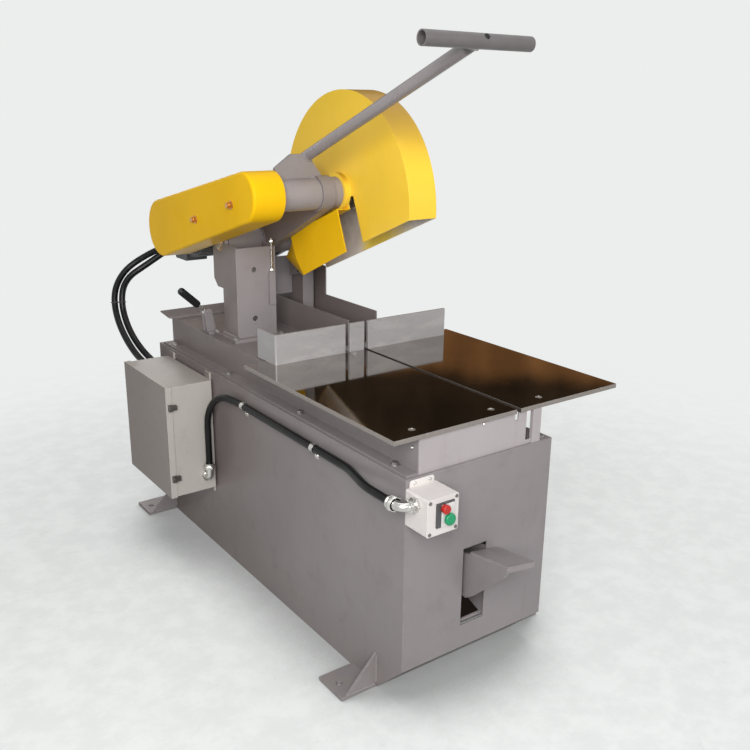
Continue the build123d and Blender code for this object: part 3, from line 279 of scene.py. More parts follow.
# Places on the CAD pieces where a finish changes, in metres.
PIVOT_AXIS_YZ = (0.332, 1.060)
BARE_SHAFT_RADIUS = 0.03
GUARD_MIDDLE_YZ = (-0.0702, 1.2118)
GUARD_INSIDE_RADIUS = 0.3352
GUARD_INSIDE_X = (0.0738, 0.1662)
BAR_START_Y = (-0.745, -0.757)
TOE_START_Y = -0.8265
TOE_TOP_Z = 0.107
TABLE_TOP_Z = 0.7565
TABLE_SLOT_X = (0.1122, 0.1278)
LEGEND_FRONT_Y = -0.9114
LEGEND_X = (-0.2245, -0.1695)
LEGEND_BAND_X = (-0.2105, -0.2095)
LEGEND_BAND_Z = (0.6085, 0.6095)
DUST_TOP_Z = 0.2
# Where the painted shade on faces that look left grows, from front to back.
SHADE_Y = (-0.9, 0.7)
# Front and back of the yellow overspray inside the guard, brightened as painted light.
LIT_SPRAY_START_Y = (-0.02, -0.085)
LIT_SPRAY_END_Y = (-0.34, -0.15)

# Brown of the painted shade and painted reflection on faces that look left or up.
SHADE_BROWN = screen(92, 78, 72)
PEEL_SCALE = 420.0


def new_paint(name):
    return Paint(bpy.data.materials.new(name))


def enamel(name, colour, grime, rough, wear=1.0, shine=0.32, inner=None, film=0.0):
    """Sprayed machine enamel: uneven tone, smudges, dust low down, rubbed edges and orange peel.

    wear scales the smudges and runs, shine is the strength of the reflection, and film that of
    the painted shade and painted brown reflection on faces that look left or up. inner takes
    the paint and the colour so far, and returns the colour with another zone painted over it.
    """
    paint = new_paint(name)
    height = paint.axes()[2]
    cloud = paint.span(paint.grain(2.4, 3.0, 0.55), 0.3, 0.7)
    smudge = paint.span(paint.grain(13.0, 6.0, 0.66), 0.5, 0.74)
    runs = paint.span(paint.grain(7.0, 4.0, 0.6, (5.0, 5.0, 0.6)), 0.52, 0.8)
    specks = paint.span(paint.grain(18.0, 5.0, 0.65), 0.36, 0.66)
    dust = paint.span(height, DUST_TOP_Z, 0.0) * specks
    nicks = paint.edge_mask(0.0022) * paint.span(paint.grain(46.0, 4.0, 0.6), 0.42, 0.6)
    tone = paint.mix(cloud, shade(colour, 0.94), shade(colour, 1.05))
    if inner:
        tone = inner(paint, tone)
    # Painted shade and painted brown reflection on faces that look left or up.
    if film:
        tone = paint.mix(paint.facing_shade() * film, tone, SHADE_BROWN)
    tone = paint.mix(smudge * (0.16 * wear), tone, grime)
    tone = paint.mix(runs * (0.10 * wear), tone, grime)
    tone = paint.mix(dust * 0.28, tone, screen(140, 132, 122))
    tone = paint.mix(nicks * 0.55, tone, shade(colour, 1.5))
    normal = paint.bump(paint.grain(PEEL_SCALE, 2.0, 0.5), 0.00012, paint.soft_edge(0.0016))
    paint.surface(Base_Color=tone, Normal=normal, Specular_IOR_Level=shine,
                  Roughness=rough + smudge * 0.12 + dust * 0.2 - cloud * 0.04)


def pivot_barrel(name, colour, steel):
    """Gray enamel on the barrel of the pivot shaft, with bare turned steel on its ends."""
    paint = new_paint(name)
    _, y, z = paint.axes()
    bare = paint.within(y, z, PIVOT_AXIS_YZ, BARE_SHAFT_RADIUS)
    cloud = paint.span(paint.grain(9.0, 4.0, 0.6), 0.3, 0.7)
    tone = paint.mix(cloud, shade(colour, 0.94), shade(colour, 1.05))
    bright = paint.mix(paint.grain(180.0, 2.0, 0.5), shade(steel, 0.85), shade(steel, 1.05))
    normal = paint.bump(paint.grain(PEEL_SCALE, 2.0, 0.5), 0.0001, paint.soft_edge(0.0016))
    paint.surface(Base_Color=paint.mix(bare, tone, bright), Metallic=bare, Normal=normal,
                  Roughness=0.34 - bare * 0.1)


def hood_zones(paint, tone):
    """Wheel guard: painted shade high up and on faces that look up, gray inside, with yellow
    overspray at the front brightened as painted light.
    """
    x, y, z = paint.axes()
    inside = (paint.between(x, GUARD_INSIDE_X)
              * paint.within(y, z, GUARD_MIDDLE_YZ, GUARD_INSIDE_RADIUS))
    soot = paint.span(paint.grain(9.0, 5.0, 0.62), 0.35, 0.7)
    gray = paint.mix(soot, screen(216, 211, 210), screen(178, 173, 170))
    # Yellow overspray inside toward the front, brightened past its real tone as painted light.
    lit_spray = paint.span(y, *LIT_SPRAY_START_Y) * paint.span(y, *LIT_SPRAY_END_Y)
    gray = paint.mix(lit_spray * 0.82, gray, screen(252, 224, 62))
    # Painted shade: deeper yellow on the upper part of the guard.
    high = paint.span(z + y * 0.6, 1.2, 1.6)
    tone = paint.mix(high * 0.85, tone, screen(222, 184, 8))
    # Painted shade: darker amber on faces that look up.
    upward_shade = paint.span(paint.facing()[2], 0.3, 0.95)
    tone = paint.mix(upward_shade * 0.8, tone, screen(158, 112, 12))
    return paint.mix(inside, tone, gray)


def shaded_bar(paint, tone):
    """Painted shade: darker paint on the cross bar of the handle."""
    y = paint.axes()[1]
    bar_shade = paint.mix(paint.grain(30.0, 4.0, 0.6), screen(88, 84, 84), screen(106, 101, 102))
    return paint.mix(paint.span(y, *BAR_START_Y), tone, bar_shade)


def toe_shade(paint, tone):
    """Painted shade on the bevel of the toe space and along the bottom edge."""
    _, y, z = paint.axes()
    # Painted shade: dark on the bevel below the front face.
    low = (y > TOE_START_Y) * (z < TOE_TOP_Z)
    return paint.mix(low * 0.8, tone, screen(58, 52, 49))


def table_finish(name, colour):
    """Ground, oiled steel close to a mirror, with sawn sides and dark walls in the wheel's slot."""
    paint = new_paint(name)
    x, _, z = paint.axes()
    film = paint.span(paint.grain(4.0, 4.0, 0.6), 0.3, 0.72)
    rubbed = paint.span(paint.grain(26.0, 6.0, 0.7), 0.56, 0.78)
    lines = paint.grain(30.0, 2.0, 0.5, (40.0, 0.7, 1.0))
    edge = paint.edge_mask(0.0014)
    tone = paint.mix(film, shade(colour, 0.78), shade(colour, 1.02))
    tone = paint.mix(rubbed * 0.25, tone, screen(120, 96, 70))
    # Lighter along the edges: a painted highlight.
    tone = paint.mix(edge * 0.4, tone, screen(214, 208, 202))
    side = z < TABLE_TOP_Z
    sawn = paint.mix(paint.grain(120.0, 4.0, 0.6), screen(116, 109, 104), screen(150, 142, 136))
    sawn = paint.mix(paint.between(x, TABLE_SLOT_X) * 0.85, sawn, screen(48, 40, 34))
    tone = paint.mix(side, tone, sawn)
    normal = paint.bump(lines, 0.000006, paint.soft_edge(0.0009))
    paint.surface(Base_Color=tone, Metallic=1.0 - side * 0.7, Normal=normal,
                  Roughness=0.045 + film * 0.035 + rubbed * 0.10 + edge * 0.2 + side * 0.4)


def fence_finish(name, colour):
    """Rubbed gray on flat bar, with level wipe marks and bright edges."""
    paint = new_paint(name)
    wipes = paint.span(paint.grain(9.0, 4.0, 0.6, (1.0, 1.0, 3.2)), 0.45, 0.7)
    scuff = paint.span(paint.grain(34.0, 6.0, 0.7, (0.5, 1.0, 2.0)), 0.55, 0.78)
    edge = paint.edge_mask(0.0016)
    tone = paint.mix(wipes, shade(colour, 0.93), shade(colour, 1.08))
    tone = paint.mix(scuff * 0.4, tone, screen(120, 116, 114))
    tone = paint.mix(edge * 0.5, tone, screen(214, 212, 210))
    normal = paint.bump(paint.grain(260.0, 3.0, 0.6), 0.0001, paint.soft_edge(0.0012))
    paint.surface(Base_Color=tone, Metallic=0.25, Normal=normal,
                  Roughness=0.38 + scuff * 0.16 - wipes * 0.05)


def powder_coat(name, colour, trim=None, film=0.0):
    """Fine-textured powder coat with handling marks.

    trim paints another zone over the colour, and film is the strength of the painted shade
    and painted brown reflection on faces that look left or up.
    """
    paint = new_paint(name)
    cloud = paint.span(paint.grain(5.0, 3.0, 0.5), 0.3, 0.7)
    marks = paint.span(paint.grain(24.0, 6.0, 0.68), 0.54, 0.78)
    edge = paint.edge_mask(0.0016)
    tone = paint.mix(cloud, shade(colour, 0.96), shade(colour, 1.03))
    tone = paint.mix(marks * 0.2, tone, screen(120, 112, 104))
    tone = paint.mix(edge * 0.3, tone, shade(colour, 1.25))
    # Painted shade and painted brown reflection on faces that look left or up.
    if film:
        tone = paint.mix(paint.facing_shade() * film, tone, SHADE_BROWN)
    if trim:
        tone = trim(paint, tone)
    normal = paint.bump(paint.grain(700.0, 2.0, 0.5), 0.00014, paint.soft_edge(0.0015))
    paint.surface(Base_Color=tone, Roughness=0.46 + marks * 0.14, Normal=normal)


def switch_face(paint, tone):
    """Pale plate with a dark band on its left and top, raised from the switch cover."""
    x, y, z = paint.axes()
    plate = y < LEGEND_FRONT_Y
    dark = paint.mix(paint.grain(60.0, 3.0, 0.6), screen(58, 56, 58), screen(84, 82, 84))
    pale = paint.mix(paint.grain(80.0, 3.0, 0.6), screen(196, 192, 190), screen(222, 219, 217))
    right = paint.span(x, *LEGEND_BAND_X)
    top = paint.span(z, *LEGEND_BAND_Z)
    face = paint.mix(right * (1.0 - top), dark, pale)
    legend = paint.between(x, LEGEND_X)
    return paint.mix(plate, tone, paint.mix(legend, screen(104, 100, 98), face))


def plated(name, colour, rough, dull):
    """Plated or bare metal: clouded brightness, fine scratches and dark spots."""
    paint = new_paint(name)
    cloud = paint.span(paint.grain(40.0, 4.0, 0.6), 0.3, 0.7)
    scratch = paint.grain(180.0, 2.0, 0.5, (1.0, 0.15, 1.0))
    spots = paint.span(paint.grain(150.0, 5.0, 0.7), 0.58, 0.76)
    edge = paint.edge_mask(0.0008)
    tone = paint.mix(cloud, shade(colour, 0.82), shade(colour, 1.05))
    tone = paint.mix(spots * 0.5, tone, dull)
    tone = paint.mix(edge * 0.4, tone, shade(colour, 1.3))
    normal = paint.bump(scratch, 0.00002, paint.soft_edge(0.0006))
    paint.surface(Base_Color=tone, Metallic=1.0, Normal=normal,
                  Roughness=rough + cloud * 0.08 + spots * 0.2)


def rubbery(name, colour, rough):
    """Jacket, rubber or moulded plastic: scuffs, dust film and a fine moulded texture."""
    paint = new_paint(name)
    scuff = paint.span(paint.grain(38.0, 5.0, 0.66), 0.52, 0.76)
    film = paint.span(paint.grain(6.0, 3.0, 0.55), 0.35, 0.7)
    tone = paint.mix(film * 0.5, shade(colour, 0.85), shade(colour, 1.35))
    tone = paint.mix(scuff * 0.18, tone, screen(78, 76, 74))
    normal = paint.bump(paint.grain(520.0, 2.0, 0.5), 0.00016, paint.soft_edge(0.0008))
    paint.surface(Base_Color=tone, Roughness=rough + scuff * 0.16, Normal=normal,
                  Specular_IOR_Level=0.22)


def moulded(name, colour):
    """Gloss button plastic, worn paler where fingers press."""
    paint = new_paint(name)
    worn = paint.span(paint.grain(70.0, 4.0, 0.6), 0.4, 0.7)
    tone = paint.mix(worn * 0.4, shade(colour, 0.9), shade(colour, 1.25))
    normal = paint.bump(paint.grain(600.0, 2.0, 0.5), 0.00005, paint.soft_edge(0.0008))
    paint.surface(Base_Color=tone, Roughness=0.3 + worn * 0.12, Normal=normal)


def finish_of(name):
    """The material of one finish."""
    return bpy.data.materials["finish." + name]


# CAD pieces with a finish other than that of their slot in the record.
OWN_FINISH = {
    "wheel_guard": "painted_light_hood",
    "switch_cover": "switch_face",
    "pivot_shaft": "pivot_barrel",
    "handle": "handle_paint",
    "cover_clamps": "dull_clamp",
    # Lighter gray as painted light on these three pieces.
    "pivot_column": "lit_upper_paint",
    "spindle_housing": "lit_upper_paint",
    "frame_front_plate": "lit_front_paint",
    "cabinet_front_panel": "toe_paint",
}


class SAW_OT_finishes(bpy.types.Operator):
    """Makes every finish and puts it on the CAD pieces"""

    bl_idname = "saw.finishes"
    bl_label = "Finishes"

    def execute(self, context):
        colours = context.scene.saw_colours
        self.painted(colours)
        self.metal(colours)
        self.rubber_and_plastic(colours)
        slots = {part["node"]: part["material_slot"] for part in frame["record"]["subparts"]}
        for name, node in NODES.items():
            finish = finish_of(OWN_FINISH.get(name, slots[name]))
            if not node.material_slots:
                node.data.materials.append(finish)
            for slot in node.material_slots:
                slot.material = finish
        return {"FINISHED"}

    def painted(self, colours):
        gray = colours.machine_gray
        grime = screen(96, 86, 84)
        amber = screen(176, 128, 10)
        # film sets the painted shade and painted brown reflection on faces that look left or up.
        enamel("finish.gray_paint", gray, grime, 0.34, film=0.68)
        enamel("finish.toe_paint", gray, grime, 0.34, inner=toe_shade, film=0.68)
        # Lighter copies of the machine gray as painted light: on the column and spindle housing,
        # and on the frame's front plate in the shade of the table.
        enamel("finish.lit_upper_paint", shade(gray, 1.16), grime, 0.34, film=0.68)
        enamel("finish.lit_front_paint", shade(gray, 1.58), grime, 0.34, film=0.68)
        enamel("finish.yellow_paint", colours.guard_yellow, amber, 0.36, 0.35, 0.05)
        enamel("finish.painted_light_hood", colours.lit_hood_yellow, amber, 0.36, 0.35, 0.4, hood_zones)
        # Lighter than the machine gray as painted light on the stem, with painted shade on the
        # cross bar.
        enamel("finish.handle_paint", shade(gray, 1.12), grime, 0.3, 1.4, 0.4, shaded_bar)
        enamel("finish.motor_paint", srgb(96, 96, 98), screen(60, 56, 54), 0.44)
        enamel("finish.weld", shade(gray, 1.05), screen(92, 84, 80), 0.36)
        pivot_barrel("finish.pivot_barrel", gray, srgb(196, 194, 192))
        powder_coat("finish.box_paint", colours.box_gray, film=0.86)
        powder_coat("finish.switch_paint", colours.switch_cream)
        powder_coat("finish.switch_face", colours.switch_cream, switch_face)

    def metal(self, colours):
        dull = screen(110, 104, 96)
        table_finish("finish.table_steel", colours.table_steel)
        fence_finish("finish.fence_steel", colours.fence_gray)
        plated("finish.bright_zinc", colours.zinc, 0.2, dull)
        plated("finish.dark_bolts", srgb(178, 175, 172), 0.34, screen(104, 94, 84))
        plated("finish.dull_clamp", srgb(122, 118, 114), 0.36, screen(64, 60, 56))
        plated("finish.shaft_steel", srgb(196, 194, 192), 0.24, dull)
        plated("finish.bronze", srgb(196, 156, 92), 0.3, screen(120, 84, 44))
        plated("finish.brass_plate", srgb(212, 160, 104), 0.24, screen(132, 88, 48))
        plated("finish.cast_pulley", srgb(108, 106, 106), 0.46, screen(70, 62, 56))

    def rubber_and_plastic(self, colours):
        rubbery("finish.belt_rubber", srgb(38, 36, 36), 0.72)
        rubbery("finish.cable_black", colours.jacket_black, 0.3)
        rubbery("finish.tie", srgb(70, 68, 66), 0.4)
        rubbery("finish.conduit_black", colours.jacket_black, 0.28)
        rubbery("finish.grip_black", srgb(26, 26, 28), 0.34)
        rubbery("finish.starter_plastic", srgb(70, 70, 74), 0.5)
        rubbery("finish.bumper_rubber", srgb(34, 33, 33), 0.7)
        moulded("finish.stop_red", srgb(176, 34, 26))
        moulded("finish.start_green", srgb(18, 140, 92))


RIGHT = Vector((1, 0, 0))
BACK = Vector((0, 1, 0))
UP = Vector((0, 0, 1))
SHARP_ANGLE = math.radians(35.0)


def aim(point, along, side=RIGHT):
    """Placement at a point with local Z along a direction."""
    z = Vector(along).normalized()
    x = Vector(side) - z * z.dot(Vector(side))
    if x.length < 1e-4:
        x = BACK - z * z.y
    x.normalize()
    y = z.cross(x)
    turn = Matrix((x, y, z)).transposed().to_4x4()
    return Matrix.Translation(Vector(point)) @ turn


def as_piece(name, form):
    """Object from a bmesh, with smooth faces and its sharp edges kept."""
    bmesh.ops.recalc_face_normals(form, faces=form.faces)
    mesh = bpy.data.meshes.new(name)
    form.to_mesh(mesh)
    form.free()
    for face in mesh.polygons:
        face.use_smooth = True
    mesh.set_sharp_from_angle(angle=SHARP_ANGLE)
    piece = bpy.data.objects.new(name, mesh)
    bpy.context.scene.collection.objects.link(piece)
    return piece


def join_rings(form, rings):
    """Faces between neighbouring rings of points."""
    for lower, upper in zip(rings, rings[1:]):
        count = len(lower)
        for i in range(count):
            j = (i + 1) % count
            form.faces.new((lower[i], lower[j], upper[j], upper[i]))


def turned(form, profile, place, sides, flats=None):
    """Adds a turned shape from (radius, height) pairs.

    flats is the width across the flats of a hexagon that no radius goes past.
    """
    rings = []
    for radius, height in profile:
        ring = []
        for i in range(sides):
            angle = 2 * math.pi * i / sides
            reach = radius
            if flats:
                bend = (angle + math.pi / 6) % (math.pi / 3) - math.pi / 6
                reach = min(radius, flats / 2 / math.cos(bend))
            point = Vector((reach * math.cos(angle), reach * math.sin(angle), height))
            ring.append(form.verts.new(place @ point))
        rings.append(ring)
    join_rings(form, rings)
    form.faces.new(rings[0])
    form.faces.new(rings[-1])


def swept(form, path, radius_at, sides, closed=False):
    """Adds a tube along a path. radius_at gives the radius at each point's index."""
    count = len(path)
    heading = None
    rings = []
    for i, point in enumerate(path):
        before = path[i - 1] if i or closed else path[i]
        after = path[(i + 1) % count] if i < count - 1 or closed else path[i]
        ahead = (after - before).normalized()
        if heading is None:
            heading = ahead.orthogonal().normalized()
        heading = (heading - ahead * ahead.dot(heading)).normalized()
        other = ahead.cross(heading)
        ring = []
        for k in range(sides):
            angle = 2 * math.pi * k / sides
            out = heading * math.cos(angle) + other * math.sin(angle)
            ring.append(form.verts.new(point + out * radius_at(i)))
        rings.append(ring)
    if closed:
        shift = min(range(sides), key=lambda k: (rings[0][k].co - rings[-1][0].co).length)
        rings.append(rings[0][shift:] + rings[0][:shift])
        join_rings(form, rings)
        return
    join_rings(form, rings)
    form.faces.new(rings[0])
    form.faces.new(rings[-1])


def slab(form, outline, thickness, place, ease=0.0):
    """Adds a flat plate from its outline, its edges eased."""
    lower = [form.verts.new(place @ Vector((x, y, 0))) for x, y in outline]
    upper = [form.verts.new(place @ Vector((x, y, thickness))) for x, y in outline]
    faces = [form.faces.new(lower), form.faces.new(upper)]
    count = len(outline)
    for i in range(count):
        j = (i + 1) % count
        faces.append(form.faces.new((lower[i], lower[j], upper[j], upper[i])))
    bmesh.ops.recalc_face_normals(form, faces=faces)
    if ease:
        edges = list({edge for face in faces for edge in face.edges})
        bmesh.ops.bevel(form, geom=edges, offset=ease, segments=2, profile=0.6, affect="EDGES")


def settle(piece, body, slot, finish=None):
    """Finish and ride for a new piece."""
    piece.data.materials.append(finish_of(finish or slot))
    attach(piece, body)


def pan_head(form, place, radius, height):
    """Adds a domed screw head with a round recess."""
    turned(form, [(radius, 0), (radius, height * 0.35), (radius * 0.9, height * 0.7),
                  (radius * 0.6, height), (radius * 0.42, height),
                  (radius * 0.3, height * 0.55)], place, 24)


def bolt_nut(form, place, flats, height, hole):
    """Adds a chamfered hexagon nut."""
    corner = flats / 2 / math.cos(math.pi / 6)
    turned(form, [(flats * 0.49, 0), (corner, height * 0.14), (corner, height * 0.86),
                  (flats * 0.49, height), (hole * 1.1, height)], place, 48, flats)


def washer(form, place, outer, height):
    """Adds a flat washer with eased rims."""
    turned(form, [(outer * 0.96, 0), (outer, height * 0.25), (outer, height * 0.75),
                  (outer * 0.96, height)], place, 40)


def bead(form, path, radius, closed=False):
    """Adds a weld bead with overlapping ripples along a path."""
    fine = []
    count = len(path)
    for i in range(count if closed else count - 1):
        a = path[i]
        b = path[(i + 1) % count]
        parts = max(1, round((b - a).length / (radius * 0.45)))
        for k in range(parts):
            fine.append(a.lerp(b, k / parts))
    if not closed:
        fine.append(path[-1])

    def ripple(i):
        return radius * (0.9 + 0.13 * math.sin(i * 1.7) + 0.05 * math.sin(i * 0.37))

    swept(form, fine, ripple, 10, closed)


def straight_bead(form, start, end, radius):
    """Adds a weld bead between two points."""
    bead(form, [Vector(start), Vector(end)], radius)


CABLE_NEAR = [
    (-0.276, 0.588, 0.575), (-0.276, 0.700, 0.575), (-0.2985, 0.812, 0.639),
    (-0.3005, 0.898, 0.719), (-0.2937, 0.9173, 0.804), (-0.2543, 0.9363, 0.8555),
    (-0.1938, 0.9254, 0.8914), (-0.080, 0.873, 0.975), (-0.080, 0.739, 0.975),
]
CABLE_FAR = [
    (-0.312, 0.588, 0.575), (-0.312, 0.700, 0.575), (-0.3275, 0.812, 0.639),
    (-0.3295, 0.898, 0.719), (-0.3183, 0.9327, 0.804), (-0.2717, 0.9537, 0.8685),
    (-0.2083, 0.9486, 0.9146), (-0.120, 0.873, 0.975), (-0.120, 0.739, 0.975),
]


def cable_line(name, route):
    """Points along the NURBS spline that a cable's route guides."""
    curve = bpy.data.curves.new(name, "CURVE")
    curve.dimensions = "3D"
    curve.resolution_u = 24
    spline = curve.splines.new("NURBS")
    spline.points.add(len(route) - 1)
    for point, place in zip(spline.points, route):
        point.co = (*place, 1.0)
    spline.order_u = 3
    spline.use_endpoint_u = True
    holder = bpy.data.objects.new(name, curve)
    bpy.context.scene.collection.objects.link(holder)
    line = bpy.data.meshes.new_from_object(holder)
    points = [vertex.co.copy() for vertex in line.vertices]
    bpy.data.objects.remove(holder)
    bpy.data.meshes.remove(line)
    return points


class SAW_OT_cables(bpy.types.Operator):
    """Lays the two motor cables and puts a gland on each end"""

    bl_idname = "saw.cables"
    bl_label = "Motor cables"

    def execute(self, context):
        radius = context.scene.saw_sizes.cable_diameter / 2
        for node, route in (("motor_cable_near", CABLE_NEAR), ("motor_cable_far", CABLE_FAR)):
            line = cable_line(node + ".line", route)
            form = bmesh.new()
            swept(form, line, lambda i: radius, 24)
            cable = as_piece(node + ".jacket", form)
            cable.data.materials.append(finish_of("cable_black"))
            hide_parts(node)
            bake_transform(cable)
        nut_start = 0.010
        for body, name, ends in (("base", "control_box", (CABLE_NEAR[0], CABLE_FAR[0])),
                                 ("head", "motor_box", (CABLE_NEAR[-1], CABLE_FAR[-1]))):
            form = bmesh.new()
            for x, y, z in ends:
                self.gland(form, aim((x, y + nut_start, z), BACK), radius)
            settle(as_piece(name + ".glands", form), body, "bright_zinc")
        return {"FINISHED"}

    def gland(self, form, place, radius):
        """Adds a gland: a hexagon body and a tapered dome that grips the cable."""
        nut = 0.010
        bolt_nut(form, place, 2 * radius + 0.013, nut, radius)
        turned(form, [(radius + 0.0050, nut), (radius + 0.0050, 0.013), (radius + 0.0038, 0.022),
                      (radius + 0.0018, 0.031), (radius + 0.0006, 0.034),
                      (radius - 0.001, 0.033)], place, 40)


# Middle of the handle's stem where it lies in the bracket, and where it meets the cross bar.
HANDLE_FOOT = Vector((-0.040, -0.056, 1.361))
HANDLE_TOP = Vector((-0.040, -0.778, 1.647))
STEM_RADIUS = 0.0165
BAR_RADIUS = 0.0175


class SAW_OT_welds(bpy.types.Operator):
    """Weld beads on the handle, the column, the fork of the lever and the feet"""

    bl_idname = "saw.welds"
    bl_label = "Welds"

    def execute(self, context):
        radius = context.scene.saw_sizes.weld_radius
        self.handle(radius)
        self.column(radius)
        self.lever_fork(radius)
        self.feet(radius)
        return {"FINISHED"}

    def handle(self, radius):
        run = (HANDLE_TOP - HANDLE_FOOT).normalized()
        up = run.cross(RIGHT)
        bracket_front, bracket_back = -0.0625, -0.0495
        form = bmesh.new()
        ring = []
        steps = 40
        for i in range(steps):
            angle = 2 * math.pi * i / steps
            rise = STEM_RADIUS * math.sin(angle)
            back = math.sqrt(BAR_RADIUS ** 2 - rise ** 2) + 0.001
            sideways = RIGHT * STEM_RADIUS * math.cos(angle)
            ring.append(HANDLE_TOP - run * back + sideways + up * rise)
        bead(form, ring, radius, True)
        start, sweep, steps = 176, 124, 24
        for y in (bracket_front, bracket_back):
            middle = HANDLE_FOOT + run * ((y - HANDLE_FOOT.y) / run.y)
            seam = []
            for i in range(steps + 1):
                angle = math.radians(start + sweep * i / steps)
                seam.append(middle + Vector((STEM_RADIUS * math.cos(angle), 0,
                                             STEM_RADIUS / abs(run.y) * math.sin(angle))))
            bead(form, seam, radius)
        level, y = 1.2945, bracket_front
        for x, reach in ((-0.150, 0.034), (-0.004, -0.034)):
            straight_bead(form, (x, y, level), (x + reach, y, level), radius)
        settle(as_piece("handle.welds", form), "head", "gray_paint", "weld")

    def column(self, radius):
        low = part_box("pivot_column")[0]
        left, right = low[0] + 0.024, -0.010
        front, back = 0.212, 0.312
        level = 0.7555
        form = bmesh.new()
        straight_bead(form, (left, front, level), (right, front, level), radius * 1.2)
        for x in (left, right):
            straight_bead(form, (x, front, level), (x, back, level), radius * 1.2)
        strip = front - 0.001
        for x in (-0.038, -0.014):
            straight_bead(form, (x, strip, 0.862), (x, strip, 0.960), radius * 0.7)
        settle(as_piece("column.welds", form), "base", "gray_paint", "weld")

    def lever_fork(self, radius):
        level = 0.7532
        form = bmesh.new()
        for y in (0.3600, 0.3920):
            straight_bead(form, (-0.197, y, level), (-0.168, y, level), radius * 0.8)
        settle(as_piece("lever_bracket.welds", form), "base", "gray_paint", "weld")

    def feet(self, radius):
        plate_top = 0.0102
        form = bmesh.new()
        for side in (-1, 1):
            wall = side * 0.2503
            start, end = wall + side * 0.004, wall + side * 0.088
            for front in (-0.718, 0.602):
                for y in (front + 0.0002, front + 0.0078):
                    straight_bead(form, (wall, y, 0.014), (wall, y, 0.100), radius * 0.9)
                    straight_bead(form, (start, y, plate_top), (end, y, plate_top), radius * 0.9)
        settle(as_piece("feet.welds", form), "base", "gray_paint", "weld")


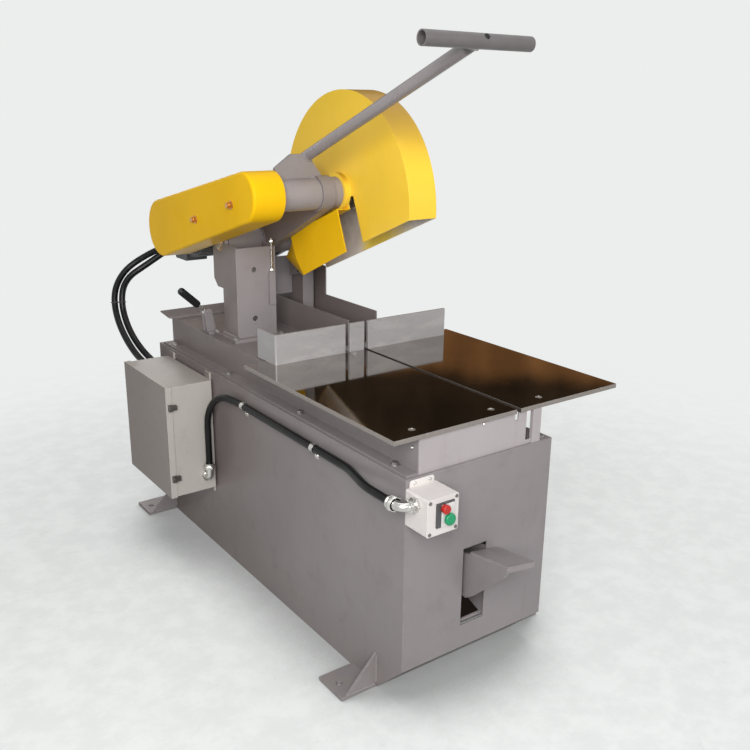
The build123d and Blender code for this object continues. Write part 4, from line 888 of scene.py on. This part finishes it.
class SAW_OT_hardware(bpy.types.Operator):
    """Washers, screws, plugs, the stay rod, the switch box's ear, conduit nuts and the cable tie"""

    bl_idname = "saw.hardware"
    bl_label = "Small hardware"

    def execute(self, context):
        sizes = context.scene.saw_sizes
        self.washers()
        self.screws(sizes.screw_radius)
        self.plugs()
        self.stay_rod(sizes.rod_radius)
        self.switch_ears(sizes.screw_radius)
        self.conduit_nuts()
        self.cable_tie(sizes.cable_diameter / 2)
        return {"FINISHED"}

    def washers(self):
        flange, deck, fence = 0.656, 0.755, 0.765
        spots = [(x, y, flange) for x in (-0.222, 0.210)
                 for y in (-0.7466, -0.2912, 0.1569, 0.5902)]
        spots += [(x, y, deck) for x in (-0.170, 0.004) for y in (0.198, 0.336)]
        spots += [(0.166, y, deck) for y in (0.278, 0.386)]
        spots += [(x, -0.108, fence) for x in (-0.152, 0.0, 0.0845, 0.178, 0.385)]
        form = bmesh.new()
        for spot in spots:
            washer(form, aim(spot, UP), 0.0125, 0.0018)
        settle(as_piece("bolts.washers", form), "base", "dark_bolts")

    def screws(self, radius):
        form = bmesh.new()
        pan_head(form, aim((0.003, -0.820, 0.738), -BACK), radius, 0.0032)
        pan_head(form, aim((-0.205, -0.793, 0.713), -RIGHT), radius, 0.0032)
        settle(as_piece("frame.screws", form), "base", "bright_zinc")
        form = bmesh.new()
        out = Vector((0, -0.81, 0.586))
        middle = Vector((-0.021, HANDLE_TOP.y, HANDLE_TOP.z))
        pan_head(form, aim(middle + out * 0.0172, out), radius * 1.4, 0.0026)
        settle(as_piece("handle.screw", form), "head", "dark_bolts", "belt_rubber")
        form = bmesh.new()
        middle = Vector((0.168, 0.571, 1.087))
        for turn in (45, 135, 225, 315):
            angle = math.radians(turn)
            out = Vector((0, math.cos(angle), math.sin(angle)))
            pan_head(form, aim(middle + out * 0.1068, out), radius, 0.0034)
        settle(as_piece("fan_cover.screws", form), "head", "bright_zinc")

    def plugs(self):
        """Socket screws set into the two holes of the column's front plate."""
        profile = [(0.0080, 0.0), (0.0088, 0.0008), (0.0088, 0.0072), (0.0080, 0.0080),
                   (0.0046, 0.0080), (0.0042, 0.0030)]
        form = bmesh.new()
        for height in (0.815, 0.980):
            turned(form, profile, aim((-0.091, 0.2225, height), -BACK), 36)
        settle(as_piece("column.plugs", form), "base", "dark_bolts", "dull_clamp")

    def stay_rod(self, radius):
        x, y, bottom = -0.026, 0.2075, 0.968
        turns, pitch = 46, 0.0024
        profile = [(radius * 0.8, 0.0)]
        for i in range(turns):
            profile += [(radius * 0.84, i * pitch + 0.0004), (radius, i * pitch + 0.0014)]
        profile.append((radius * 0.7, turns * pitch + 0.001))
        form = bmesh.new()
        turned(form, profile, aim((x, y, bottom), UP), 20)
        for height in (0.970, 1.066):
            bolt_nut(form, aim((x, y, height), UP), 0.017, 0.008, radius)
        settle(as_piece("column.stay_rod", form), "base", "bright_zinc")

    def switch_ears(self, radius):
        outline = [(-0.038, 0.0), (0.038, 0.0), (0.038, 0.014), (0.033, 0.019),
                   (-0.033, 0.019), (-0.038, 0.014)]
        form = bmesh.new()
        slab(form, outline, 0.0025, aim((-0.2015, -0.828, 0.627), -BACK), 0.0006)
        settle(as_piece("switch_box.ear", form), "base", "switch_paint")
        form = bmesh.new()
        for x in (-0.225, -0.178):
            pan_head(form, aim((x, -0.8304, 0.6375), -BACK), radius * 0.9, 0.003)
        settle(as_piece("switch_box.ear_screws", form), "base", "bright_zinc")

    def conduit_nuts(self):
        flats, thickness, hole = 0.037, 0.011, 0.011
        collar = [(0.0166, 0.0), (0.0178, 0.0012), (0.0178, 0.0048), (0.0166, 0.006)]
        lock_ring = [(0.0140, 0.0), (0.0168, 0.0014), (0.0168, 0.0058), (0.0140, 0.0072)]
        form = bmesh.new()
        bolt_nut(form, aim((-0.292, -0.842, 0.603), BACK), flats, thickness, hole)
        turned(form, collar, aim((-0.292, -0.826, 0.603), BACK), 40)
        turned(form, lock_ring, aim((-0.2745, -0.868, 0.603), RIGHT), 40)
        bolt_nut(form, aim((-0.288, 0.201, 0.322), UP), flats, thickness, hole)
        settle(as_piece("conduit.nuts", form), "base", "bright_zinc")

    def cable_tie(self, radius):
        """A loop round both cables, square to the near one."""
        height, gap, thickness = 0.765, 0.0012, 0.0019
        near = cable_line("tie.near", CABLE_NEAR)
        far = cable_line("tie.far", CABLE_FAR)
        at = min(range(len(near)), key=lambda i: abs(near[i].z - height))
        first = near[at]
        ahead = (near[at + 1] - near[at - 1]).normalized()
        second = min(far, key=lambda p: abs((p - first).dot(ahead)) + 0.01 * (p - first).length)
        across = second - first
        across = (across - ahead * ahead.dot(across)).normalized()
        over = ahead.cross(across)
        loop = []
        for middle, start in ((first, 90), (second, -90)):
            for turn in range(0, 181, 10):
                angle = math.radians(start + turn)
                out = across * math.cos(angle) + over * math.sin(angle)
                loop.append(middle + out * (radius + gap))
        form = bmesh.new()
        swept(form, loop, lambda i: thickness, 10, True)
        settle(as_piece("cables.tie", form), "base", "cable_black", "tie")


# Name, place, target, diameter in metres and power in watts of each lamp.
LAMPS = (
    ("key", (-2.1, -2.8, 2.2), (0.0, 0.0, 0.9), 2.2, 131),
    ("front fill", (1.2, -5.2, 2.0), (0.0, -0.2, 0.7), 2.8, 40),
    ("overhead", (0.3, -0.4, 5.4), (0.0, 0.0, 0.5), 4.5, 48),
    ("right fill", (4.8, 0.4, 1.7), (0.0, 0.0, 0.7), 1.6, 45),
    ("rear fill", (0.9, 5.2, 1.8), (0.0, 0.0, 0.7), 1.6, 45),
)

# The camera's place in metres, its turns in degrees, and its lens in picture widths.
CAMERA_PLACE = (-1.4381, -2.3352, 1.5164)
CAMERA_YAW, CAMERA_PITCH, CAMERA_ROLL = 35.94, 17.44, 0.66
CAMERA_LENS = 872.1 / 750
SENSOR_WIDTH = 36.0

# The floor under the cabinet, painted dark as its shadow, which only shows through the pedal's
# slot.
CABINET_INSIDE_X = (-0.246, 0.246)
CABINET_INSIDE_Y = (-0.62, 0.60)


class SAW_OT_stage(bpy.types.Operator):
    """Floor, background, dark reflection card, lights and camera"""

    bl_idname = "saw.stage"
    bl_label = "Stage"

    def execute(self, context):
        scene = context.scene
        scene.view_settings.view_transform = "Standard"
        pale = shade(scene.saw_colours.floor)
        self.floor(pale)
        self.card()
        self.world(scene, pale)
        for lamp in LAMPS:
            self.lamp(*lamp)
        self.camera(scene)
        return {"FINISHED"}

    def seen(self, paint):
        """1 where the eye, a reflection or a clear piece looks at it, 0 where it only lights."""
        ray = paint.node("ShaderNodeLightPath", None, None,
                         ("Is Camera Ray", "Is Glossy Ray", "Is Transmission Ray"))
        return paint.span(ray[0] + ray[1] + ray[2], 0.0, 1.0)

    def floor(self, pale):
        """Blotched pale floor, with painted contact shade close to the saw and a painted shadow
        under the cabinet, that glows more farther away.
        """
        form = bmesh.new()
        bmesh.ops.create_grid(form, x_segments=24, y_segments=24, size=16.0)
        floor = as_piece("studio_floor", form)
        paint = new_paint("stage.floor")
        x, y, _ = paint.axes()
        off_y = y + 0.1
        reach = (x * x + off_y * off_y) ** 0.5
        fade = paint.span(reach, 3.4, 1.0)
        blotch = paint.span(paint.grain(10.0, 9.0, 0.7), 0.62, 0.4) * fade
        stains = paint.grain(17.0, 6.0, 0.72, (1.0, 1.7, 1.0))
        specks = paint.span(stains, 0.62, 0.72) * fade
        bare = paint.mix(blotch, pale, shade(pale, 0.935))
        bare = paint.mix(specks * 0.35, bare, shade(pale, 0.66))
        # Painted contact shade: the floor darkens close to the saw.
        near = paint.node("ShaderNodeAmbientOcclusion", {"samples": 8}, {"Distance": 0.34}, "AO")
        tone = paint.mix(paint.span(near, 0.9, 0.45, 0.0, 0.76), bare, shade(pale, 0.3))
        # Painted shadow under the cabinet, in both the lit and the glowing floor.
        under = paint.between(x, CABINET_INSIDE_X) * paint.between(y, CABINET_INSIDE_Y)
        tone = paint.mix(under, tone, screen(58, 48, 42))
        dim = paint.mix(1.0, tone, (0.96, 0.96, 0.95, 1.0), "MULTIPLY")
        matt = paint.node("ShaderNodeBsdfDiffuse", None, {"Color": dim})
        lit = paint.mix(self.seen(paint) * (1.0 - under), shade(pale, 0.4), tone)
        lit = paint.mix(under, lit, screen(40, 33, 29))
        glow = paint.node("ShaderNodeEmission", None, {"Color": lit, "Strength": 1.0})
        mixed = paint.node("ShaderNodeMixShader", None,
                           {0: paint.span(reach, 0.9, 2.6, 0.5, 1.0), 1: matt, 2: glow})
        paint.node("ShaderNodeOutputMaterial", None, {"Surface": mixed}, None)
        floor.data.materials.append(paint.owner)

    def card(self):
        """Brown and dark card behind the saw, which only reflections show."""
        cos, sin = 0.81, 0.587
        half, bottom, top = 3.4, -0.2, 3.6
        form = bmesh.new()
        slab(form, [(-half, bottom), (half, bottom), (half, top), (-half, top)], 0.02,
             aim((2.7, 3.6, 0.3), (-sin, -cos, 0.0), (cos, -sin, 0.0)))
        card = as_piece("dark_card", form)
        paint = new_paint("stage.card")
        x, y, z = paint.axes()
        along = x * cos - y * sin
        drift = (paint.grain(1.6, 5.0, 0.62) - 0.5) * 0.34
        brown = paint.span(z - along * 0.076 + drift, 2.25, 2.09)
        streak = paint.span(paint.grain(1.9, 4.0, 0.6, (1.0, 1.0, 0.3)), 0.38, 0.66)
        panel = paint.mix(streak, screen(118, 82, 49), screen(154, 109, 67))
        dusk = paint.mix(streak, screen(46, 37, 28), screen(64, 52, 40))
        tone = paint.mix(brown, dusk, panel)
        glow = paint.node("ShaderNodeEmission", None, {"Color": tone, "Strength": 1.0})
        paint.node("ShaderNodeOutputMaterial", None, {"Surface": glow}, None)
        card.data.materials.append(paint.owner)
        card.visible_camera = False
        card.visible_diffuse = False
        card.visible_shadow = False
        card.visible_transmission = False

    def world(self, scene, pale):
        world = bpy.data.worlds.new("studio")
        scene.world = world
        paint = Paint(world)
        tone = paint.mix(self.seen(paint), (0.30, 0.30, 0.31, 1.0), pale)
        glow = paint.node("ShaderNodeBackground", None, {"Color": tone, "Strength": 1.0})
        paint.node("ShaderNodeOutputWorld", None, {"Surface": glow}, None)

    def lamp(self, name, place, target, size, power):
        light = bpy.data.lights.new(name, "AREA")
        light.shape = "DISK"
        light.size = size
        light.energy = power
        lamp = bpy.data.objects.new(name, light)
        lamp.location = place
        lamp.visible_camera = False
        ahead = Vector(target) - Vector(place)
        lamp.rotation_euler = ahead.to_track_quat("-Z", "Y").to_euler()
        bpy.context.scene.collection.objects.link(lamp)

    def camera(self, scene):
        lens = bpy.data.cameras.new("view")
        lens.sensor_fit = "HORIZONTAL"
        lens.sensor_width = SENSOR_WIDTH
        lens.lens = CAMERA_LENS * SENSOR_WIDTH
        lens.clip_end = 100
        camera = bpy.data.objects.new("view", lens)
        scene.collection.objects.link(camera)
        yaw, pitch, roll = (math.radians(turn)
                            for turn in (CAMERA_YAW, CAMERA_PITCH, CAMERA_ROLL))
        ahead = Vector((math.sin(yaw) * math.cos(pitch), math.cos(yaw) * math.cos(pitch),
                        -math.sin(pitch)))
        level = Vector((math.cos(yaw), -math.sin(yaw), 0))
        over = level.cross(ahead)
        right = level * math.cos(roll) + over * math.sin(roll)
        up = over * math.cos(roll) - level * math.sin(roll)
        turn = Matrix((right, up, -ahead)).transposed().to_4x4()
        camera.matrix_world = Matrix.Translation(CAMERA_PLACE) @ turn
        scene.camera = camera


class SAW_PT_panel(bpy.types.Panel):
    """Buttons and settings for the saw"""

    bl_label = "Cut-off saw"
    bl_idname = "SAW_PT_panel"
    bl_space_type = "VIEW_3D"
    bl_region_type = "UI"
    bl_category = "Saw"

    def draw(self, context):
        layout = self.layout
        for owner in (context.scene.saw_colours, context.scene.saw_sizes):
            for name in owner.__annotations__:
                layout.prop(owner, name)
        for operator in OPERATORS:
            layout.operator(operator.bl_idname)


OPERATORS = (
    SAW_OT_finishes,
    SAW_OT_cables,
    SAW_OT_welds,
    SAW_OT_hardware,
    SAW_OT_stage,
)
CLASSES = (SawColours, SawSizes) + OPERATORS + (SAW_PT_panel,)


def register():
    for entry in CLASSES:
        bpy.utils.register_class(entry)
    bpy.types.Scene.saw_colours = bpy.props.PointerProperty(type=SawColours)
    bpy.types.Scene.saw_sizes = bpy.props.PointerProperty(type=SawSizes)


def unregister():
    del bpy.types.Scene.saw_sizes
    del bpy.types.Scene.saw_colours
    for entry in reversed(CLASSES):
        bpy.utils.unregister_class(entry)


def main():
    register()
    bpy.ops.saw.finishes()
    bpy.ops.saw.cables()
    bpy.ops.saw.welds()
    bpy.ops.saw.hardware()
    bpy.ops.saw.stage()


if __name__ == "__main__":
    main()
